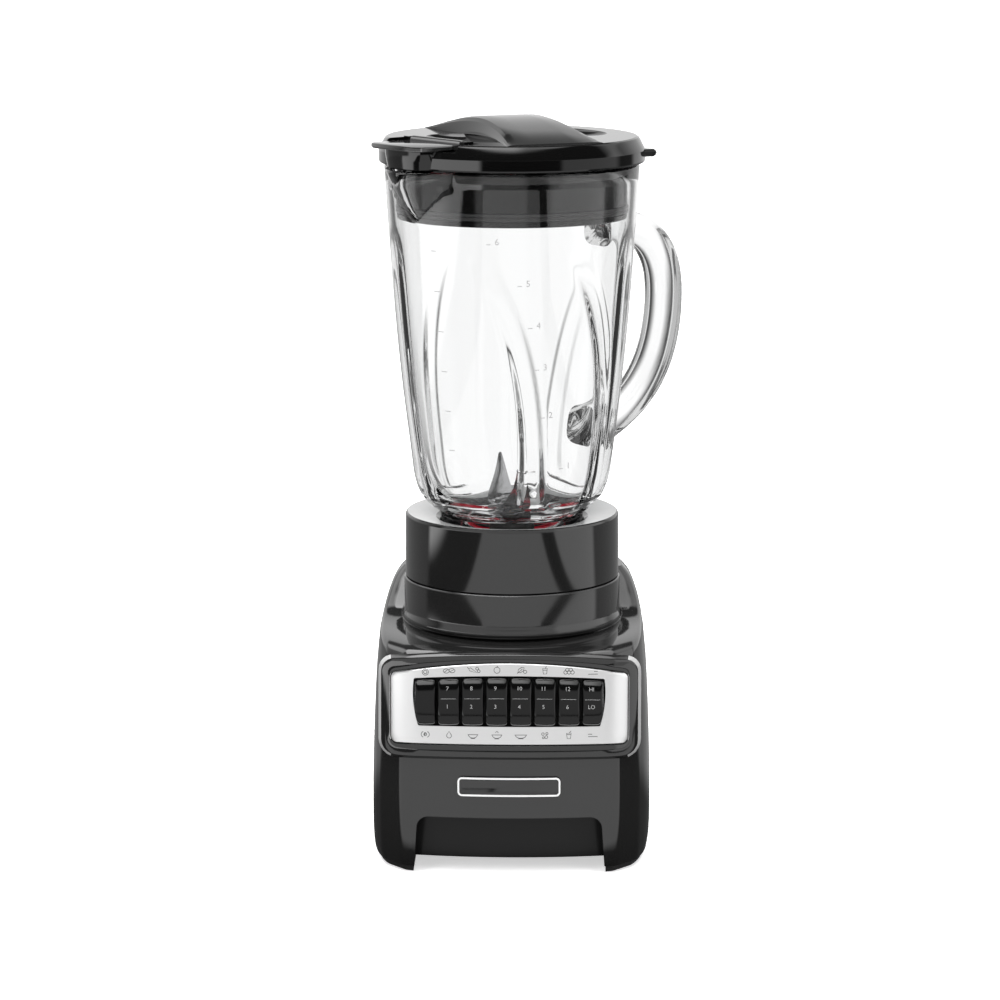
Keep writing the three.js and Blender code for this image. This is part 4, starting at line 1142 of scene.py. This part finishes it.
# Materials of the CAD nodes that no piece replaces, by the longest matching start of their names.
NODE_MATERIALS = {
    "bottom_plate": BLACK_MATTE, "plate_screw": SCREW, "cord_inlet": BLACK_MATTE,
    "switch_frame": BLACK_MATTE, "key_spring_comb": SCREW, "circuit_board": BOARD,
    "motor_stator": LAMINATION, "field_coil": WIRE, "motor_bracket": BRACKET, "bearing": BRONZE,
    "motor_bolt": SCREW, "brush_holder": BRASS, "brush": CARBON, "armature_shaft": SCREW,
    "armature_core": LAMINATION, "armature_winding": WIRE, "commutator": COPPER,
    "cooling_fan": BLACK_MATTE, "drive_coupling": COUPLING, "latch_bar": BRACKET,
    "blade_bushing": BRONZE, "blade_shaft": STEEL, "flap_pin": SCREW,
}
replaced = set()
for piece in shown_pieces():
    replaced.update(piece.get("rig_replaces", []))
for name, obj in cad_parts.items():
    if name in replaced:
        continue
    match = max((k for k in NODE_MATERIALS if name.startswith(k)), key=len)
    obj.data.materials.clear()
    obj.data.materials.append(NODE_MATERIALS[match])

# ------------------------------------------------------------------ studio

# Brightness of the studio for what isn't seen directly: (degrees from the front, brightness).
LOW_SKY = [
    (-180, 1.0), (-140, 1.0), (-125, 0.9), (-100, 0.5), (-84, 0.1), (-76, 0.85), (46, 0.85),
    (52, 1.4), (112, 1.4), (122, 0.6), (140, 1.0), (180, 1.0),
]
HIGH_SKY = [
    (-180, 0.08), (-150, 0.1), (-135, 2.2), (-112, 2.2), (-100, 0.04), (100, 0.04), (112, 1.2),
    (130, 1.2), (145, 0.08), (180, 0.08),
]
THROUGH_GLASS = [
    (-180, 1.06), (-168, 1.03), (-158, 0.35), (-151, 0.05), (-143, 0.05), (-138, 0.75),
    (-120, 0.75), (-113, 0.03), (-102, 0.03), (-95, 0.8), (-70, 0.8), (-58, 0.01), (-36, 0.01),
    (-32, 0.5), (13, 0.45), (17, 0.02), (34, 0.02), (40, 0.7), (97, 0.7), (103, 0.03), (114, 0.03),
    (120, 0.75), (138, 0.75), (143, 0.05), (151, 0.05), (158, 0.35), (168, 1.03), (180, 1.06),
]
FAR_FLOOR = [
    (-180, 1.0), (-120, 0.4), (-82, 0.4), (-76, 2.6), (-28, 2.6), (-24, 0.02), (42, 0.02),
    (46, 0.8), (100, 0.8), (108, 0.1), (125, 0.1), (132, 1.0), (180, 1.0),
]
FAR_RADIUS = 2.0  # beyond this many metres the floor's reflection changes by azimuth only
LOW_SKY_TOP, HIGH_SKY_FOOT = 0.45, 0.54  # the skies blend between these sines of elevation
CARD_FOOT, CARD_FULL = 0.82, 0.88  # sines of elevation from which an overhead card shows
CARD_RIGHT, CARD_LEFT = 2.2, 5.0
# Bright paper in front, in metres: its half width at the knee, how it widens towards the object
# and away from it, and where it starts.
FRONT_HALF_WIDTH, FRONT_KNEE, FRONT_START = 0.5, -0.835, -0.086
WIDENS_NEAR, WIDENS_BEYOND = 0.2, 0.3
RIGHT_START, RIGHT_FULL = 0.67, 0.7  # the right card's edge, which slants as the paper widens
LEFT_START, LEFT_FULL, LEFT_SLANT = -0.82, -0.95, 0.233
BEHIND_START, BEHIND_FULL = 0.06, 0.16
# How bright polished surfaces see each part of the floor.
BARE_FLOOR, LEFT_CARD, RIGHT_CARD, BEHIND, FRONT_PAPER = 0.06, 2.6, 1.25, 0.3, 1.0


def calculate(tree, operation, a, b=0.0):
    node = tree.nodes.new("ShaderNodeMath")
    node.operation = operation
    for socket, value in zip(node.inputs, (a, b)):
        if isinstance(value, (int, float)):
            socket.default_value = value
        else:
            tree.links.new(value, socket)
    return node.outputs[0]


def smooth_step(tree, value, low, high):
    """0 below low, 1 above high; low may be the larger."""
    node = tree.nodes.new("ShaderNodeMapRange")
    node.interpolation_type = "SMOOTHSTEP"
    node.inputs["From Min"].default_value, node.inputs["From Max"].default_value = low, high
    tree.links.new(value, node.inputs["Value"])
    return node.outputs["Result"]


def mix_values(tree, factor, a, b):
    node = tree.nodes.new("ShaderNodeMix")
    for key, value in (("Factor", factor), ("A", a), ("B", b)):
        if isinstance(value, (int, float)):
            node.inputs[key].default_value = value
        else:
            tree.links.new(value, node.inputs[key])
    return node.outputs["Result"]


def azimuth_band(tree, xyz, stops):
    """Brightness by azimuth round the object: stops of (degrees from the front, brightness)."""
    angle = calculate(tree, "ARCTAN2", xyz["X"], calculate(tree, "MULTIPLY", xyz["Y"], -1))
    share = ramp(tree, angle, 0, 1, (-math.pi, math.pi))
    colours = tree.nodes.new("ShaderNodeValToRGB")
    elements = colours.color_ramp.elements
    while len(elements) > 1:
        elements.remove(elements[-1])
    for i, (degrees, value) in enumerate(stops):
        at = (degrees + 180) / 360
        element = elements[0] if i == 0 else elements.new(at)
        element.position, element.color = at, (value, value, value, 1)
    tree.links.new(share, colours.inputs["Fac"])
    return colours.outputs["Color"]


def mix_colours(tree, factor, a, b):
    node = tree.nodes.new("ShaderNodeMix")
    node.data_type = "RGBA"
    for key, value in (("Factor", factor), ("A", a), ("B", b)):
        tree.links.new(value, node.inputs[key])
    return node.outputs["Result"]


def emission(tree, colour):
    node = tree.nodes.new("ShaderNodeEmission")
    tree.links.new(colour, node.inputs["Color"])
    return node.outputs[0]


def split(tree, vector):
    node = tree.nodes.new("ShaderNodeSeparateXYZ")
    tree.links.new(vector, node.inputs[0])
    return node.outputs


def pick_shader(tree, factor, a, b):
    node = tree.nodes.new("ShaderNodeMixShader")
    tree.links.new(factor, node.inputs["Fac"])
    tree.links.new(a, node.inputs[1])
    tree.links.new(b, node.inputs[2])
    return node.outputs[0]


def by_ray(tree, seen, reflected, refracted):
    """One shader for the camera, one for reflections and light, one for what glass lets through."""
    rays = tree.nodes.new("ShaderNodeLightPath")
    indirect = pick_shader(tree, rays.outputs["Is Transmission Ray"], reflected, refracted)
    return pick_shader(tree, rays.outputs["Is Camera Ray"], indirect, seen)


def floor_reflection(tree, xyz):
    """What polished surfaces see of the floor: bright paper in front and cards at the sides."""
    x, y = xyz["X"], xyz["Y"]

    def times(a, b):
        return calculate(tree, "MULTIPLY", a, b)

    def minus(a, b):
        return calculate(tree, "SUBTRACT", a, b)

    near = calculate(tree, "MAXIMUM", minus(y, FRONT_KNEE), 0.0)
    beyond = calculate(tree, "MAXIMUM", minus(FRONT_KNEE, y), 0.0)
    widens = calculate(tree, "ADD", times(near, WIDENS_NEAR), times(beyond, WIDENS_BEYOND))
    within = minus(calculate(tree, "ABSOLUTE", x), widens)
    soft = 0.015
    front = times(smooth_step(tree, within, FRONT_HALF_WIDTH + soft, FRONT_HALF_WIDTH - soft),
                  smooth_step(tree, y, FRONT_START, FRONT_START - soft))
    right = smooth_step(tree, minus(x, times(beyond, WIDENS_BEYOND)), RIGHT_START, RIGHT_FULL)
    left = smooth_step(tree, minus(x, times(y, LEFT_SLANT)), LEFT_START, LEFT_FULL)
    behind = smooth_step(tree, y, BEHIND_START, BEHIND_FULL)
    near_floor = BARE_FLOOR
    for share, brightness in ((left, LEFT_CARD), (right, RIGHT_CARD), (behind, BEHIND),
                              (front, FRONT_PAPER)):
        near_floor = mix_values(tree, share, near_floor, brightness)
    radius = calculate(tree, "SQRT", calculate(tree, "ADD", times(x, x), times(y, y)))
    far = smooth_step(tree, radius, FAR_RADIUS - 0.2, FAR_RADIUS + 0.2)
    return mix_colours(tree, far, near_floor, azimuth_band(tree, xyz, FAR_FLOOR))


def build_floor():
    """White paper to the eye; reflections and glass see it in their own brightness."""
    half = 14.0
    mesh = bpy.data.meshes.new("studio_floor")
    corners = [(-half, -half, 0), (half, -half, 0), (half, half, 0), (-half, half, 0)]
    mesh.from_pydata(corners, [], [(0, 1, 2, 3)])
    floor = linked("studio_floor", mesh)
    material = bpy.data.materials.new("studio_floor")
    material.use_nodes = True
    tree = material.node_tree
    tree.nodes.clear()
    out = tree.nodes.new("ShaderNodeOutputMaterial")
    xyz = split(tree, tree.nodes.new("ShaderNodeTexCoord").outputs["Object"])
    reflected = emission(tree, floor_reflection(tree, xyz))
    refracted = emission(tree, azimuth_band(tree, xyz, THROUGH_GLASS))
    paper = tree.nodes.new("ShaderNodeBsdfDiffuse")
    paper.inputs["Color"].default_value = (0.85, 0.85, 0.85, 1)
    glow = tree.nodes.new("ShaderNodeEmission")
    glow.inputs["Strength"].default_value = 0.55
    seen = tree.nodes.new("ShaderNodeAddShader")
    tree.links.new(paper.outputs[0], seen.inputs[0])
    tree.links.new(glow.outputs[0], seen.inputs[1])
    tree.links.new(by_ray(tree, seen.outputs[0], reflected, refracted), out.inputs["Surface"])
    floor.data.materials.append(material)


def build_world():
    """White to the eye; reflections see two rings of sky and an overhead card."""
    world = bpy.data.worlds.new("studio")
    bpy.context.scene.world = world
    world.use_nodes = True
    tree = world.node_tree
    tree.nodes.clear()
    out = tree.nodes.new("ShaderNodeOutputWorld")
    xyz = split(tree, tree.nodes.new("ShaderNodeTexCoord").outputs["Generated"])
    height = smooth_step(tree, xyz["Z"], LOW_SKY_TOP, HIGH_SKY_FOOT)
    sky = mix_colours(tree, height, azimuth_band(tree, xyz, LOW_SKY),
                      azimuth_band(tree, xyz, HIGH_SKY))
    card = mix_values(tree, smooth_step(tree, xyz["X"], 0.2, 0.0), CARD_RIGHT, CARD_LEFT)
    sky = mix_colours(tree, smooth_step(tree, xyz["Z"], CARD_FOOT, CARD_FULL), sky, card)
    seen, reflected, refracted = [tree.nodes.new("ShaderNodeBackground") for _ in range(3)]
    seen.inputs["Color"].default_value = (1, 1, 1, 1)
    tree.links.new(sky, reflected.inputs["Color"])
    tree.links.new(azimuth_band(tree, xyz, THROUGH_GLASS), refracted.inputs["Color"])
    tree.links.new(by_ray(tree, seen.outputs[0], reflected.outputs[0], refracted.outputs[0]),
                   out.inputs["Surface"])


def softbox(name, at, aim, size, power):
    """An area lamp that lights the matte surfaces and shows in nothing."""
    data = bpy.data.lights.new(name, "AREA")
    data.shape, data.size, data.size_y, data.energy = "RECTANGLE", size[0], size[1], power
    lamp = linked(name, data)
    lamp.location = at
    lamp.rotation_euler = (Vector(aim) - Vector(at)).to_track_quat("-Z", "Y").to_euler()
    lamp.visible_camera = False
    lamp.visible_glossy = False
    lamp.visible_transmission = False


def build_camera():
    data = bpy.data.cameras.new("camera")
    data.lens, data.sensor_width, data.shift_x = 130.3, 36, -0.012
    data.clip_start, data.clip_end = 0.05, 60
    camera = linked("camera", data)
    turn, look_down = math.radians(1.1), math.radians(10.81)
    away, up = 1.9, 0.548
    camera.location = AXIS + Vector((away * math.sin(turn), -away * math.cos(turn), up))
    camera.rotation_euler = Euler((math.radians(90) - look_down, 0, turn))
    bpy.context.scene.camera = camera


build_floor()
build_world()
softbox("overhead", (0, -0.3, 1.8), (0, 0, 0.15), (1.8, 1.4), 26)
softbox("front_left", (-1.4, -1.6, 1.2), (0, 0, 0.2), (0.9, 1.2), 14)
softbox("front_right", (1.5, -1.4, 1.0), (0, 0, 0.2), (0.9, 1.2), 10)
build_camera()

scene = bpy.context.scene
scene.view_settings.view_transform = "Standard"
scene.cycles.max_bounces = 14
scene.cycles.transmission_bounces = 14
scene.cycles.glossy_bounces = 6
scene.cycles.diffuse_bounces = 3
scene.cycles.transparent_max_bounces = 12
